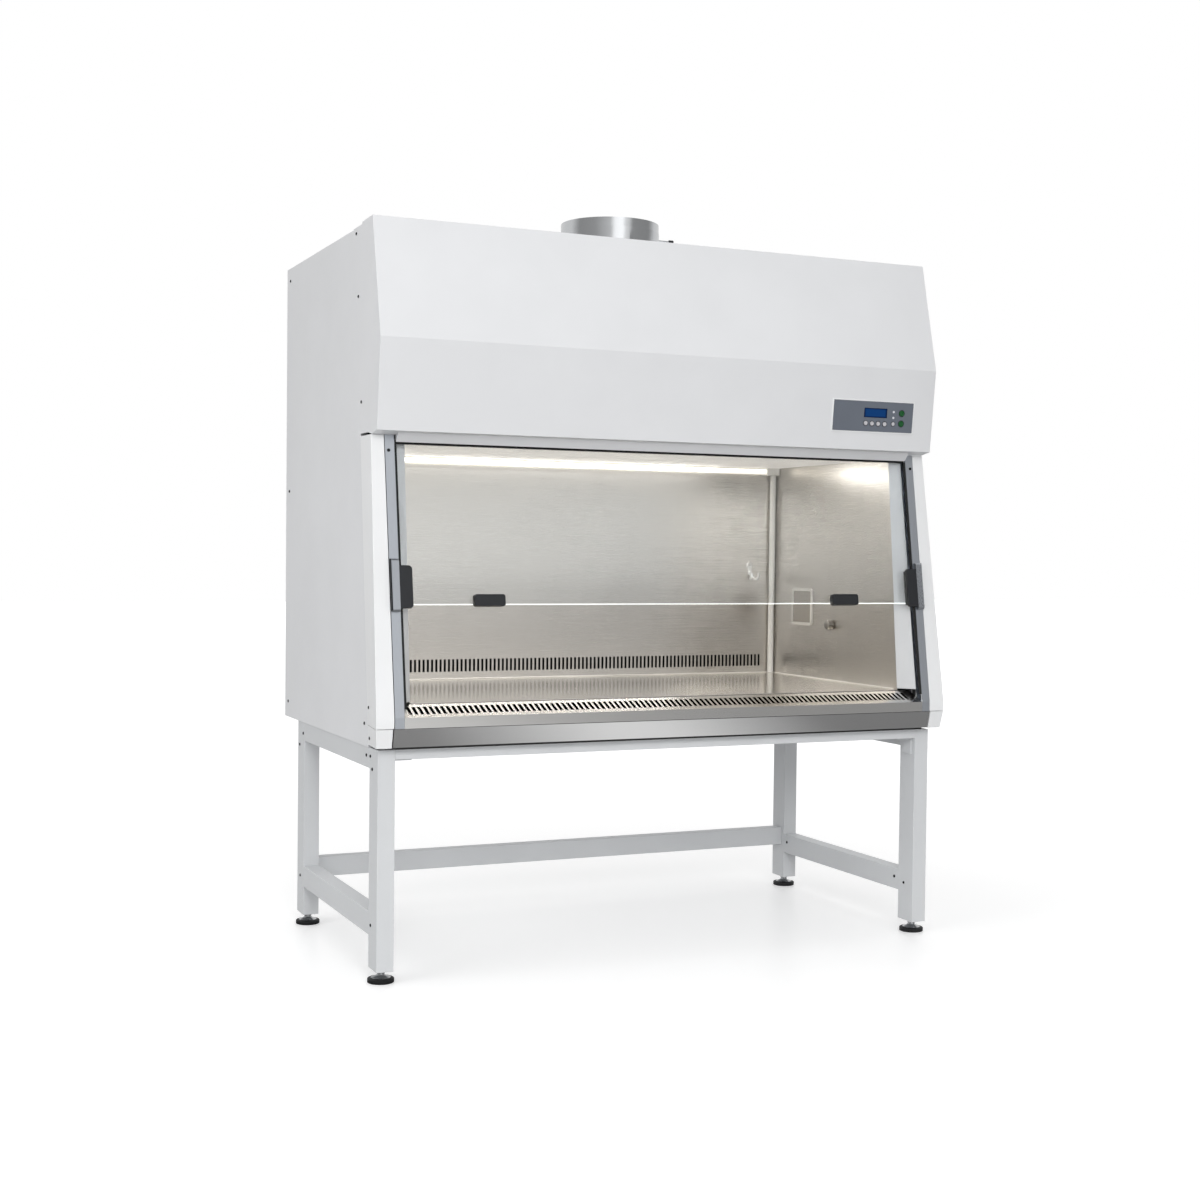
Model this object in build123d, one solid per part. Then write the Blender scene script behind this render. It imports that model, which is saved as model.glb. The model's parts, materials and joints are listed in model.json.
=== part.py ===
from build123d import *
from math import atan2, cos, degrees, hypot, pi, radians, sin
import os

# Biosafety cabinet on a four-leg stand, in millimetres. +Z is up, the operator stands on the -Y side.
# The origin is on the floor, under the middle of the cabinet. Outlines are written as (depth, height)
# points: depth is measured forward from the rear face, height up from the floor.

# ---- overall sizes ----
HOOD_WIDTH = 1650.0
FOLD_DEPTH = 997.0  # rear face to the foremost fold of the front trims
REAR_Y = FOLD_DEPTH / 2
BODY_BOTTOM = 590.0
ROOF_TOP = 1918.0
SHEET = 2.0  # painted steel
LINER_SHEET = 1.5  # stainless steel
FLANGE = 20.0  # folded edge of a panel
GAP = 0.3  # clearance between neighbours that don't touch
HALF = HOOD_WIDTH / 2

# ---- side seam, hood and sash plane ----
SEAM_TOP_DEPTH = FOLD_DEPTH - 287.0
SEAM_KNEE = (FOLD_DEPTH - 212.0, 1386.0)
SEAM_BOTTOM_DEPTH = FOLD_DEPTH - 122.0
HOOD_TOP_REAR_Z = ROOF_TOP + SHEET
HOOD_STEP_DEPTH = FOLD_DEPTH - 209.0
HOOD_STEP_Z = ROOF_TOP + 8.0
HOOD_TOP = (FOLD_DEPTH - 115.0, ROOF_TOP + 10.0)
HOOD_CREASE = (FOLD_DEPTH - 40.0, 1618.0)
HOOD_LOW = (FOLD_DEPTH - 65.0, 1388.0)
SASH_TOP = (FOLD_DEPTH - 108.0, 1380.0)  # where the sash plane meets the hood's underside
SASH_FOLD = (FOLD_DEPTH, 674.0)  # lower end of the sash plane
CHEEK_NOTCH_DEPTH = SASH_TOP[0] - 33.0
LIP_DROP = 18.0
LIP_SET_BACK = 6.0

# ---- front trims, rails and seals ----
TRIM_INNER = HALF - 31.0
TRIM_FLARE_TOP = HALF + 3.0
TRIM_FLARE_LOW = HALF + 16.0
TRIM_RETURN = 30.0
TRIM_DROP_Z = 647.0
CAP_BOTTOM_Z = 598.0
CAP_FRONT_DEPTH = FOLD_DEPTH - 11.0
CAP_HALF = HALF + 12.0
PAN_FRONT_DEPTH = FOLD_DEPTH - 23.0
SEAM_LINE = 1.0  # gap of a visible seam
RAIL_INNER = TRIM_INNER - 26.0
RAIL_OUTER = TRIM_INNER - 1.5
RAIL_DEEP = 30.0
RAIL_LIP = 4.0
SEAL_INNER = RAIL_INNER - 6.0
SEAL_DEEP = 5.0

# ---- sash ----
GLASS = 6.0
GLASS_BACK = 10.0  # sash plane to the front of the glass
GLASS_HALF = RAIL_INNER + 11.0
GLASS_LOW_Z = 953.5
GLASS_TOP_Z = 1655.0
TOP_RAIL = 12.0
GRIP_OUT = 12.0  # how far a grip stands in front of the sash plane
GRIP_INNER = RAIL_INNER - 31.0
GRIP_OUTER = RAIL_INNER + 3.0
GRIP_LOW_Z = 943.0
GRIP_TOP_Z = 1050.0
BRACKET_OUTER = RAIL_OUTER - 2.0
BRACKET_LOW_Z = 935.0
BRACKET_TOP_Z = 1067.0
BUFFER = 2.5
EDGE_GRIP_X = GLASS_HALF - 248.0
EDGE_GRIP_LENGTH = 84.0
EDGE_GRIP_LOW_Z = 948.5
EDGE_GRIP_TOP_Z = 979.0

# ---- counterbalance ----
SHAFT_DEPTH = FOLD_DEPTH - 218.0
SHAFT_Z = ROOF_TOP - 33.0
SHAFT_R = 6.0
SHAFT_HALF = HALF - 33.0
BEARING_CLEARANCE = 0.05
PULLEY_R = 20.0
PULLEY_WIDTH = 10.0
PULLEY_X = GLASS_HALF - 5.0
CABLE_R = 1.5
HANGER_X = HALF - 125.0
WEIGHT_WIDE = 54.0
WEIGHT_DEEP = 46.0
WEIGHT_TALL = 440.0
WEIGHT_TOP_Z = 1585.0

# ---- work chamber ----
LINER_HALF = SEAL_INNER - 31.0
BAFFLE_DEPTH = 203.0
LINER_FRONT_TOP_DEPTH = SASH_TOP[0] - 31.0
LINER_FRONT_LOW_DEPTH = FOLD_DEPTH - 73.0
CEILING_Z = 1366.0
TRAY_Z = 704.0
TRAY_SKIRT = 28.0
TRAY_SPLIT_X = 110.0
LEDGE = 22.0
GRILLE_REAR = (FOLD_DEPTH - 67.0, TRAY_Z - 2.0)
GRILLE_MARGIN = 22.0  # plain sheet beside the end slots
GRILLE_SHIFT = -8.0  # the row stands nearer the left end
GRILLE_PITCH = 15.06
GRILLE_SLOT_WIDE = 8.6
GRILLE_SLOT_LONG = 41.0
BAFFLE_MARGIN = 40.5
BAFFLE_PITCH = 13.27
BAFFLE_SLOT_WIDE = 7.0
BAFFLE_SLOT_LOW_Z = 727.0
BAFFLE_SLOT_TOP_Z = 764.0
LAMP_R = 8.0
LAMP_DEPTH = BAFFLE_DEPTH + 26.0
LAMP_Z = CEILING_Z - 12.0
LAMP_HALF = LINER_HALF - 39.0
CONDUIT_R = 9.5
CONDUIT_X = LINER_HALF - 11.0
CONDUIT_DEPTH = BAFFLE_DEPTH + 12.0
HOOK_X = LINER_HALF - 88.0
HOOK_TOP_Z = 1062.0
HOOK_SHEET = 3.0
HOOK_PLATE = 18.0
HOOK_NECK = 5.0
HOOK_TALL = 40.0
HOOK_PRONG = 6.0
HOOK_SPLAY = 20.0  # angle of each prong from straight out

# ---- outlet and service valve in the right wall ----
OUTLET_DEPTH = 396.0
OUTLET_Z = 925.0
OUTLET_LONG = 122.0
OUTLET_TALL = 115.0
OUTLET_BORDER = 8.0
OUTLET_PROUD = 6.0
OUTLET_BOX = 30.0
FLAP = 2.5
VALVE_DEPTH = 572.0
VALVE_Z = 876.0
VALVE_R = 14.0
VALVE_SIDES = 8
VALVE_LONG = 20.0
VALVE_STEM_R = 5.0

# ---- plenum, filters and blower ----
PLENUM_TOP_Z = 1562.0
PLENUM_FRONT_DEPTH = FOLD_DEPTH - 162.0
FILTER_TALL = 100.0
EXHAUST_FILTER_X = 500.0
EXHAUST_FILTER_DEEP = 300.0
EXHAUST_FILTER_TALL = 70.0
BLOWER_DEPTH = 380.0
BLOWER_Z = PLENUM_TOP_Z + 120.0
BLOWER_WIDE = 190.0
SCROLL_R = 104.0
IMPELLER_R = 78.0
MOTOR_R = 45.0
MOTOR_SHAFT_R = 6.0
IMPELLER_BLADES = 12
RING_SIDES = 12

# ---- exhaust collar and its rotary damper ----
COLLAR_BORE_R = 140.0
COLLAR_WALL = 2.0
COLLAR_DEPTH = 500.0
COLLAR_TOP_Z = ROOF_TOP + 119.0
COLLAR_STEP = 1.0  # the duct's sleeve stops on this step
COLLAR_FOOT = 164.0
DAMPER_Z = COLLAR_TOP_Z - 30.0
DAMPER_BLADES = 3
DAMPER_SWING = 55.0
LEVER_R = 2.5
PIVOT_R = 5.0
LEVER_END_X = COLLAR_BORE_R + 52.0
DAMPER_KNOB_R = 5.5

# ---- control panel on the lower face of the hood ----
PANEL_X = HALF - 201.5
PANEL_Z = 1481.5
PANEL_LONG = 264.0
PANEL_TALL = 84.0
PANEL_PROUD = 2.5
PANEL_DEEP = 18.0
DISPLAY_LONG = 77.0
DISPLAY_TALL = 27.0
DISPLAY_X = PANEL_X + 6.5
DISPLAY_Z = PANEL_Z + 10.5
LIGHT_X = PANEL_X + 66.5
LIGHT_ZS = (PANEL_Z + 15.5, PANEL_Z - 0.9)
LIGHT_R = 3.2
SILVER_R = 6.0
SMALL_R = 5.2
GREEN_R = 8.0
BUTTON_PROUD = 1.8
BUTTON_TRAVEL = 1.0
BUTTON_LONG = 6.0
# each button: its name, its centre across and up the panel, its radius
BUTTONS = (
    ("button_menu", PANEL_X - 25.0, PANEL_Z - 19.0, SILVER_R),
    ("button_down", PANEL_X - 4.2, PANEL_Z - 19.5, SILVER_R),
    ("button_up", PANEL_X + 16.7, PANEL_Z - 19.5, SILVER_R),
    ("button_enter", PANEL_X + 38.3, PANEL_Z - 19.8, SILVER_R),
    ("button_mute", PANEL_X + 66.5, PANEL_Z - 18.1, SMALL_R),
    ("button_light", PANEL_X + 93.5, PANEL_Z + 12.4, GREEN_R),
    ("button_blower", PANEL_X + 93.5, PANEL_Z - 16.7, GREEN_R),
)

# ---- stand ----
LEG_WIDE = 45.0
LEG_DEEP = 72.0
LEG_WALL = 2.5
LEG_OUTER = HALF - 3.0
LEG_BOTTOM_Z = 32.0
FRONT_LEG_DEPTH = FOLD_DEPTH - 83.0
REAR_LEG_DEPTH = 185.0
TOP_RAIL_TALL = 53.0
CROSS_RAIL_TALL = 25.0
LOWER_RAIL_Z = 114.0
LOWER_RAIL_TALL = 60.0
STRETCHER_Z = 138.0
STRETCHER_TALL = 56.0
STRETCHER_DEEP = 40.0
ANGLE_LEG = 48.0
ANGLE_SHEET = 4.0
ANGLE_WIDE = 44.0

# ---- levelling feet ----
FOOT_R = 34.0
PAD_TALL = 10.0
DISC_RIM = 2.0
SPINDLE_R = 6.0
NUT_TALL = 8.0
NUT_R = 9.5
FOOT_PLATE = 6.0
SPINDLE_TOP_Z = LEG_BOTTOM_Z + 50.0

# ---- screws ----
SCREW_R = 4.2
SCREW_HEAD = 2.2
SCREW_SIDES = 6

# ---- flat sides of small or hidden round pieces ----
DISC_SIDES = 14
BAR_SIDES = 8
DRUM_SIDES = 16


# ================= shared construction =================


def y_at(depth):
    """The Y of a depth measured forward from the rear face."""
    return REAR_Y - depth


def slab(x0, x1, depth0, depth1, z0, z1):
    """A block between two X, two depths and two heights."""
    block = Box(abs(x1 - x0), abs(depth1 - depth0), abs(z1 - z0))
    return Pos((x0 + x1) / 2, y_at((depth0 + depth1) / 2), (z0 + z1) / 2) * block


def profile_face(points, x):
    """A face in the plane across X, from (depth, height) points."""
    return make_face(Polyline([(x, y_at(d), z) for d, z in points], close=True))


def extrude_profile(points, x0, x1):
    """The outline of (depth, height) points, extruded between two X."""
    return extrude(profile_face(points, x0), amount=x1 - x0, dir=(1, 0, 0))


def inset_line(points, thickness):
    """A line of points moved sideways by a thickness, with mitred corners, to the left of its direction."""
    moved = []
    last = len(points) - 1
    for i, point in enumerate(points):
        before = points[max(i - 1, 0)]
        after = points[min(i + 1, last)]
        into = Vector(point[0] - before[0], point[1] - before[1])
        out = Vector(after[0] - point[0], after[1] - point[1])
        if i == 0:
            into = out
        if i == last:
            out = into
        into, out = into.normalized(), out.normalized()
        normal = (Vector(-into.Y, into.X) + Vector(-out.Y, out.X)).normalized()
        reach = thickness / (normal.X * -into.Y + normal.Y * into.X)
        moved.append((point[0] + normal.X * reach, point[1] + normal.Y * reach))
    return moved


def folded_sheet(points, thickness, x0, x1):
    """A sheet folded along (depth, height) points, which lie on its outer side, between two X."""
    return extrude_profile(points + inset_line(points, thickness)[::-1], x0, x1)


def tube(x0, x1, depth0, depth1, z0, z1, wall, along):
    """A rectangular tube with open ends, running along "x", "y" or "z"."""
    cut = {"x": 0.0, "y": 0.0, "z": 0.0}
    for axis in cut:
        cut[axis] = -1.0 if axis == along else wall
    bore = slab(
        x0 + cut["x"], x1 - cut["x"], depth0 + cut["y"], depth1 - cut["y"], z0 + cut["z"], z1 - cut["z"]
    )
    return slab(x0, x1, depth0, depth1, z0, z1) - bore


def both_sides(shape):
    """A right-hand piece and its mirror image on the left."""
    return Part() + [shape, mirror(shape, about=Plane.YZ)]


def left_of(shape):
    """The left-hand twin of a right-hand piece."""
    return mirror(shape, about=Plane.YZ)


def group(shapes):
    """Separate solids of one node."""
    return Part() + list(shapes)


def rod_x(x0, x1, depth, z, radius):
    """A round bar along X."""
    bar = Rot(0, 90, 0) * Cylinder(radius, abs(x1 - x0))
    return Pos((x0 + x1) / 2, y_at(depth), z) * bar


def rod_z(x, depth, z0, z1, radius):
    """A round bar along Z."""
    return Pos(x, y_at(depth), (z0 + z1) / 2) * Cylinder(radius, abs(z1 - z0))


def prism(radius, long, sides):
    """A short bar with flat sides about Z, for small round pieces that repeat."""
    return Pos(0, 0, -long / 2) * extrude(RegularPolygon(radius, sides, major_radius=False), amount=long)


def prism_x(x0, x1, depth, z, radius, sides):
    """A bar with flat sides along X."""
    return Pos((x0 + x1) / 2, y_at(depth), z) * Rot(0, 90, 0) * prism(radius, abs(x1 - x0), sides)


def prism_z(x, depth, z0, z1, radius, sides):
    """A bar with flat sides along Z."""
    return Pos(x, y_at(depth), (z0 + z1) / 2) * prism(radius, z1 - z0, sides)


def frustum(wide, narrow, long, sides):
    """A bar with flat sides that narrows upwards from Z = 0; both radii reach its corners."""
    flat = cos(pi / sides)
    bar = extrude(RegularPolygon(wide, sides), amount=long)
    top = bar.faces().sort_by(Axis.Z)[-1]
    return chamfer(top.edges(), (wide - narrow) * flat, long - 0.01, reference=top)


def turned(points, x, depth):
    """A solid turned about a vertical axis, from (radius, height) points."""
    face = make_face(Polyline([(r, 0, z) for r, z in points], close=True))
    return Pos(x, y_at(depth), 0) * revolve(face, axis=Axis.Z)


def seam_depth(z):
    """Depth of the side panel's front edge at a height."""
    knee_depth, knee_z = SEAM_KNEE
    if z > knee_z:
        share = (z - knee_z) / (ROOF_TOP - knee_z)
        return knee_depth + (SEAM_TOP_DEPTH - knee_depth) * share
    share = (knee_z - z) / (knee_z - BODY_BOTTOM)
    return knee_depth + (SEAM_BOTTOM_DEPTH - knee_depth) * share


def sash_depth(z):
    """Depth of the sash plane at a height."""
    slope = (SASH_FOLD[0] - SASH_TOP[0]) / (SASH_TOP[1] - SASH_FOLD[1])
    return SASH_TOP[0] + (SASH_TOP[1] - z) * slope


def hood_depth(z):
    """Depth of the hood's lower front face at a height."""
    slope = (HOOD_CREASE[0] - HOOD_LOW[0]) / (HOOD_CREASE[1] - HOOD_LOW[1])
    return HOOD_LOW[0] + (z - HOOD_LOW[1]) * slope


def front_plane(origin, low, high):
    """A plane on a front face: x to the right, y up the face from low to high, z out of it."""
    up = Vector(0, y_at(high[0]) - y_at(low[0]), high[1] - low[1]).normalized()
    out = Vector(1, 0, 0).cross(up)
    return Plane(origin=(0, y_at(origin[0]), origin[1]), x_dir=(1, 0, 0), z_dir=out)


SASH_PLANE = front_plane(SASH_TOP, SASH_FOLD, SASH_TOP)
PANEL_PLANE = front_plane((hood_depth(PANEL_Z), PANEL_Z), HOOD_LOW, HOOD_CREASE)
SASH_COS = SASH_PLANE.z_dir.dot(Vector(0, -1, 0))


def along_sash(z):
    """Distance up the sash plane from its top corner to a height on the plane."""
    return (z - SASH_TOP[1]) / SASH_COS


def sash_block(x0, x1, low, high, out0, out1):
    """A block on the sash plane: across, up the plane, and out of it."""
    block = Box(abs(x1 - x0), abs(high - low), abs(out1 - out0))
    return SASH_PLANE * Pos((x0 + x1) / 2, (low + high) / 2, (out0 + out1) / 2) * block


def panel_block(x, z, wide, tall, out0, out1):
    """A block on the control panel's face, centred at an X and a height."""
    up = (z - PANEL_Z) / PANEL_PLANE.z_dir.dot(Vector(0, -1, 0))
    return PANEL_PLANE * Pos(x, up, out0) * extrude(Rectangle(wide, tall), amount=out1 - out0)


def panel_disc(x, z, radius, out0, out1):
    """A small disc on the control panel's face."""
    up = (z - PANEL_Z) / PANEL_PLANE.z_dir.dot(Vector(0, -1, 0))
    return PANEL_PLANE * Pos(x, up, (out0 + out1) / 2) * prism(radius, out1 - out0, DISC_SIDES)


# ================= stand =================


def leg_places():
    """Centre X, centre depth and name of the four legs."""
    x = LEG_OUTER - LEG_WIDE / 2
    return (
        (-x, FRONT_LEG_DEPTH, "front_left"),
        (x, FRONT_LEG_DEPTH, "front_right"),
        (-x, REAR_LEG_DEPTH, "rear_left"),
        (x, REAR_LEG_DEPTH, "rear_right"),
    )


def leg(x, depth):
    """One tube leg with a drilled plate in its lower end."""
    half_wide, half_deep = LEG_WIDE / 2, LEG_DEEP / 2
    walls = tube(
        x - half_wide, x + half_wide, depth - half_deep, depth + half_deep,
        LEG_BOTTOM_Z, BODY_BOTTOM, LEG_WALL, "z",
    )
    plate = slab(
        x - half_wide, x + half_wide, depth - half_deep, depth + half_deep,
        LEG_BOTTOM_Z, LEG_BOTTOM_Z + FOOT_PLATE,
    )
    hole = prism_z(x, depth, LEG_BOTTOM_Z - 1, LEG_BOTTOM_Z + FOOT_PLATE + 1, SPINDLE_R + GAP, BAR_SIDES)
    return walls + plate - hole


def stand_legs():
    return group(leg(x, depth) for x, depth, _ in leg_places())


def stand_rails():
    """Upper side and cross rails, lower side rails and the rear stretcher, each butted between the legs."""
    inner = LEG_OUTER - LEG_WIDE
    back = REAR_LEG_DEPTH + LEG_DEEP / 2
    front = FRONT_LEG_DEPTH - LEG_DEEP / 2
    upper_z = BODY_BOTTOM - TOP_RAIL_TALL
    cross_z = BODY_BOTTOM - CROSS_RAIL_TALL
    lower_top = LOWER_RAIL_Z + LOWER_RAIL_TALL
    upper_side = tube(inner, LEG_OUTER, back, front, upper_z, BODY_BOTTOM, LEG_WALL, "y")
    lower_side = tube(inner, LEG_OUTER, back, front, LOWER_RAIL_Z, lower_top, LEG_WALL, "y")
    front_cross = tube(
        -inner, inner, FRONT_LEG_DEPTH - LEG_DEEP / 2, FRONT_LEG_DEPTH + LEG_DEEP / 2,
        cross_z, BODY_BOTTOM, LEG_WALL, "x",
    )
    rear_cross = tube(
        -inner, inner, REAR_LEG_DEPTH - LEG_DEEP / 2, REAR_LEG_DEPTH + LEG_DEEP / 2,
        cross_z, BODY_BOTTOM, LEG_WALL, "x",
    )
    stretcher = tube(
        -inner, inner, REAR_LEG_DEPTH - STRETCHER_DEEP / 2, REAR_LEG_DEPTH + STRETCHER_DEEP / 2,
        STRETCHER_Z, STRETCHER_Z + STRETCHER_TALL, LEG_WALL, "x",
    )
    return group([both_sides(upper_side), both_sides(lower_side), front_cross, rear_cross, stretcher])


def stand_brackets():
    """An angle bracket under each end of the cross rails, against the legs' inner faces."""
    inner = LEG_OUTER - LEG_WIDE
    top = BODY_BOTTOM - CROSS_RAIL_TALL
    low, root = top - ANGLE_LEG, top - ANGLE_SHEET
    corners = (
        (inner, top), (inner - ANGLE_LEG, top), (inner - ANGLE_LEG, root),
        (inner - ANGLE_SHEET, root), (inner - ANGLE_SHEET, low), (inner, low),
    )
    angles = []
    for depth in (FRONT_LEG_DEPTH, REAR_LEG_DEPTH):
        outline = Polyline([(x, y_at(depth + ANGLE_WIDE / 2), z) for x, z in corners], close=True)
        angles.append(both_sides(extrude(make_face(outline), amount=ANGLE_WIDE, dir=(0, 1, 0))))
    return group(angles)


def foot_lock_nuts():
    """Hexagon nuts tight under the legs."""
    nuts = []
    low = LEG_BOTTOM_Z - NUT_TALL
    for x, depth, _ in leg_places():
        nut = prism_z(x, depth, low, LEG_BOTTOM_Z, NUT_R, 6)
        nuts.append(nut - prism_z(x, depth, low - 1, LEG_BOTTOM_Z + 1, SPINDLE_R + GAP, BAR_SIDES))
    return group(nuts)


def levelling_foot(x, depth):
    """Spindle with its conical disc, on a rubber pad."""
    cone_top = LEG_BOTTOM_Z - NUT_TALL - GAP
    centre = Pos(x, y_at(depth), 0)
    disc = extrude(RegularPolygon(FOOT_R - 1, DRUM_SIDES), amount=cone_top - PAD_TALL)
    top = disc.faces().sort_by(Axis.Z)[-1]
    disc = chamfer(top.edges(), FOOT_R - NUT_R, cone_top - PAD_TALL - DISC_RIM, reference=top)
    spindle = prism_z(x, depth, PAD_TALL + DISC_RIM, SPINDLE_TOP_Z, SPINDLE_R, BAR_SIDES)
    steel = centre * Pos(0, 0, PAD_TALL) * disc + spindle
    pad = centre * extrude(RegularPolygon(FOOT_R, DRUM_SIDES), amount=PAD_TALL)
    return group([steel, pad])


# ================= cabinet body =================


def side_panel():
    """Right side panel: a shallow tray whose folded edge runs round its outline."""
    outline = [(0, BODY_BOTTOM), (SEAM_BOTTOM_DEPTH, BODY_BOTTOM), SEAM_KNEE, (SEAM_TOP_DEPTH, ROOF_TOP), (0, ROOF_TOP)]
    block = extrude_profile(outline, HALF - FLANGE, HALF)
    hollow = offset(profile_face(outline, HALF - FLANGE), amount=-SHEET)
    return block - extrude(hollow, amount=FLANGE - SHEET, dir=(1, 0, 0))


def rear_panel():
    """Rear sheet behind the side panels' folded edges, with its own edges turned inward."""
    half = HALF - SHEET - GAP
    sheet = slab(-half, half, SHEET, 2 * SHEET, BODY_BOTTOM + SHEET, ROOF_TOP - 2 * SHEET)
    inlet = slab(-HALF + 140, -HALF + 188, 0, 3 * SHEET, ROOF_TOP - 158, ROOF_TOP - 130)
    return sheet - inlet


def power_inlet():
    """Appliance inlet in the rear panel: a flanged body with a recess and three flat pins."""
    x, z = -HALF + 164, ROOF_TOP - 144
    flange = slab(x - 29, x + 29, 0.0, SHEET, z - 17, z + 17)
    body = slab(x - 24 + GAP, x + 24 - GAP, SHEET, 24, z - 14 + GAP, z + 14 - GAP)
    recess = slab(x - 19, x + 19, -1, 18, z - 10, z + 10)
    pins = [slab(x + dx - 2, x + dx + 2, 6, 18, z + dz - 1, z + dz + 1) for dx, dz in ((-10, -2), (0, 3), (10, -2))]
    return flange + body - recess + pins


def top_panel():
    """Roof between the side panels, open under the exhaust collar."""
    half = HALF - SHEET - GAP
    under = ROOF_TOP - 2 * SHEET
    sheet = slab(-half, half, SHEET, SEAM_TOP_DEPTH - SHEET, under, under + SHEET)
    front_edge = slab(-HALF + FLANGE + 5, HALF - FLANGE - 5, SEAM_TOP_DEPTH - 2 * SHEET, SEAM_TOP_DEPTH - SHEET, under - FLANGE, under)
    hole = prism_z(0, COLLAR_DEPTH, under - 1, under + SHEET + 1, COLLAR_BORE_R, 2 * DRUM_SIDES)
    return sheet + front_edge - hole


def base_pan():
    """Drain pan under the work trays, turned up behind the front apron."""
    floor_z = BODY_BOTTOM + SHEET
    half = HALF - SHEET - GAP
    brim = TRIM_DROP_Z - SEAM_LINE - LINER_SHEET - GAP
    points = [(2 * SHEET, floor_z), (PAN_FRONT_DEPTH, floor_z), (PAN_FRONT_DEPTH, brim)]
    pan = folded_sheet(points, SHEET, -TRIM_INNER + 12, TRIM_INNER - 12)
    wings = slab(-half, half, 2 * SHEET, SEAM_BOTTOM_DEPTH - 2 * SHEET, floor_z, floor_z + SHEET)
    return pan + wings


def hood_outline():
    """Outer line of the hood's sheet, from the rear of its top to the foot of its underside."""
    return [
        (SEAM_TOP_DEPTH + GAP, HOOD_TOP_REAR_Z), (HOOD_STEP_DEPTH, HOOD_TOP_REAR_Z),
        (HOOD_STEP_DEPTH + 2, HOOD_STEP_Z), HOOD_TOP, HOOD_CREASE, HOOD_LOW, SASH_TOP,
    ]


def hood_shell():
    """Folded front with end cheeks, open at the rear, and a sealing lip between the sash rails."""
    outer = hood_outline()
    front = folded_sheet(outer, -SHEET, -HALF, HALF)
    cheek_line = outer + [
        (CHEEK_NOTCH_DEPTH, SEAM_KNEE[1]), (SEAM_KNEE[0] + SEAM_LINE, SEAM_KNEE[1]),
    ]
    cheek = extrude_profile(cheek_line, HALF - SHEET, HALF)
    low = (SASH_TOP[0] + LIP_SET_BACK, SASH_TOP[1] - LIP_DROP)
    lip_line = [(HOOD_LOW[0] - 16, HOOD_LOW[1] - 3), low, (low[0] - SHEET, low[1])]
    lip_line.append((SASH_TOP[0] + 1, SASH_TOP[1]))
    lip = extrude_profile(lip_line, -SEAL_INNER - 2, SEAL_INNER + 2)
    panel_hole = panel_block(PANEL_X, PANEL_Z, PANEL_LONG - 24, PANEL_TALL - 16, -SHEET - 2, SHEET + 2)
    return front + both_sides(cheek) + lip - panel_hole


def trim_section(z, front_depth, outer_x):
    """Corner trim cut at one height: side wall, front face and the turned-in edge beside the rail."""
    rear = seam_depth(z) + SEAM_LINE
    points = [
        (HALF - SHEET + GAP, rear), (HALF + GAP, rear), (outer_x, front_depth), (TRIM_INNER, front_depth),
        (TRIM_INNER, front_depth - TRIM_RETURN), (TRIM_INNER + SHEET, front_depth - TRIM_RETURN),
        (TRIM_INNER + SHEET, front_depth - SHEET), (outer_x - SHEET, front_depth - SHEET),
    ]
    return make_face(Polyline([(x, y_at(depth), z) for x, depth in points], close=True))


def corner_trim():
    """Right corner trim, narrow under the hood and flared out towards its foot."""
    top_z = SASH_TOP[1] - GAP
    top = trim_section(top_z, sash_depth(top_z), TRIM_FLARE_TOP)
    fold = trim_section(SASH_FOLD[1], SASH_FOLD[0], TRIM_FLARE_LOW)
    low = trim_section(TRIM_DROP_Z, SASH_FOLD[0] - 0.5, TRIM_FLARE_LOW)
    cover = loft([top, fold], ruled=True) + loft([fold, low], ruled=True)
    return group([cover, trim_end_cap()])


def trim_end_cap():
    """Moulded cap below the trim's seam, hollow from behind."""
    top_z = TRIM_DROP_Z - SEAM_LINE
    sections = []
    for z, front, outer in ((top_z, SASH_FOLD[0] - 0.5, TRIM_FLARE_LOW), (CAP_BOTTOM_Z, CAP_FRONT_DEPTH, CAP_HALF)):
        rear = seam_depth(z) + SEAM_LINE
        points = [(HALF + GAP, rear), (outer, front), (TRIM_INNER + 3, front), (TRIM_INNER + 3, front - 40), (HALF - 16, rear)]
        sections.append(make_face(Polyline([(x, y_at(depth), z) for x, depth in points], close=True)))
    return loft(sections, ruled=True)


def sash_rail():
    """Right sash rail: an aluminium channel that guides the edge of the glass, straight below the fold."""
    foot = along_sash(SASH_FOLD[1])
    inside = RAIL_OUTER - RAIL_LIP
    body = sash_block(RAIL_INNER, RAIL_OUTER, foot, -GAP, -RAIL_DEEP, 0)
    slot = sash_block(RAIL_INNER - 1, inside, foot - 1, 1, -RAIL_DEEP + RAIL_LIP, -RAIL_LIP)
    lower = slab(RAIL_INNER, RAIL_OUTER, SASH_FOLD[0] - 12, SASH_FOLD[0] - 0.5, TRIM_DROP_Z, SASH_FOLD[1])
    return body - slot + lower


def sash_rails():
    return both_sides(sash_rail())


def sash_seals():
    """Black strips beside the glass on both rails, and the wiper on the hood's lip."""
    foot = along_sash(SASH_FOLD[1]) + 22
    strip = sash_block(SEAL_INNER, RAIL_INNER, foot, -LIP_DROP / SASH_COS - 4, -SEAL_DEEP, 0)
    wiper_z = SASH_TOP[1] - LIP_DROP
    top = along_sash(wiper_z)
    wiper = sash_block(-SEAL_INNER - 2, SEAL_INNER + 2, top - 4, top + 6, -GLASS_BACK + GAP, -4)
    return group([both_sides(strip), wiper])


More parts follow.
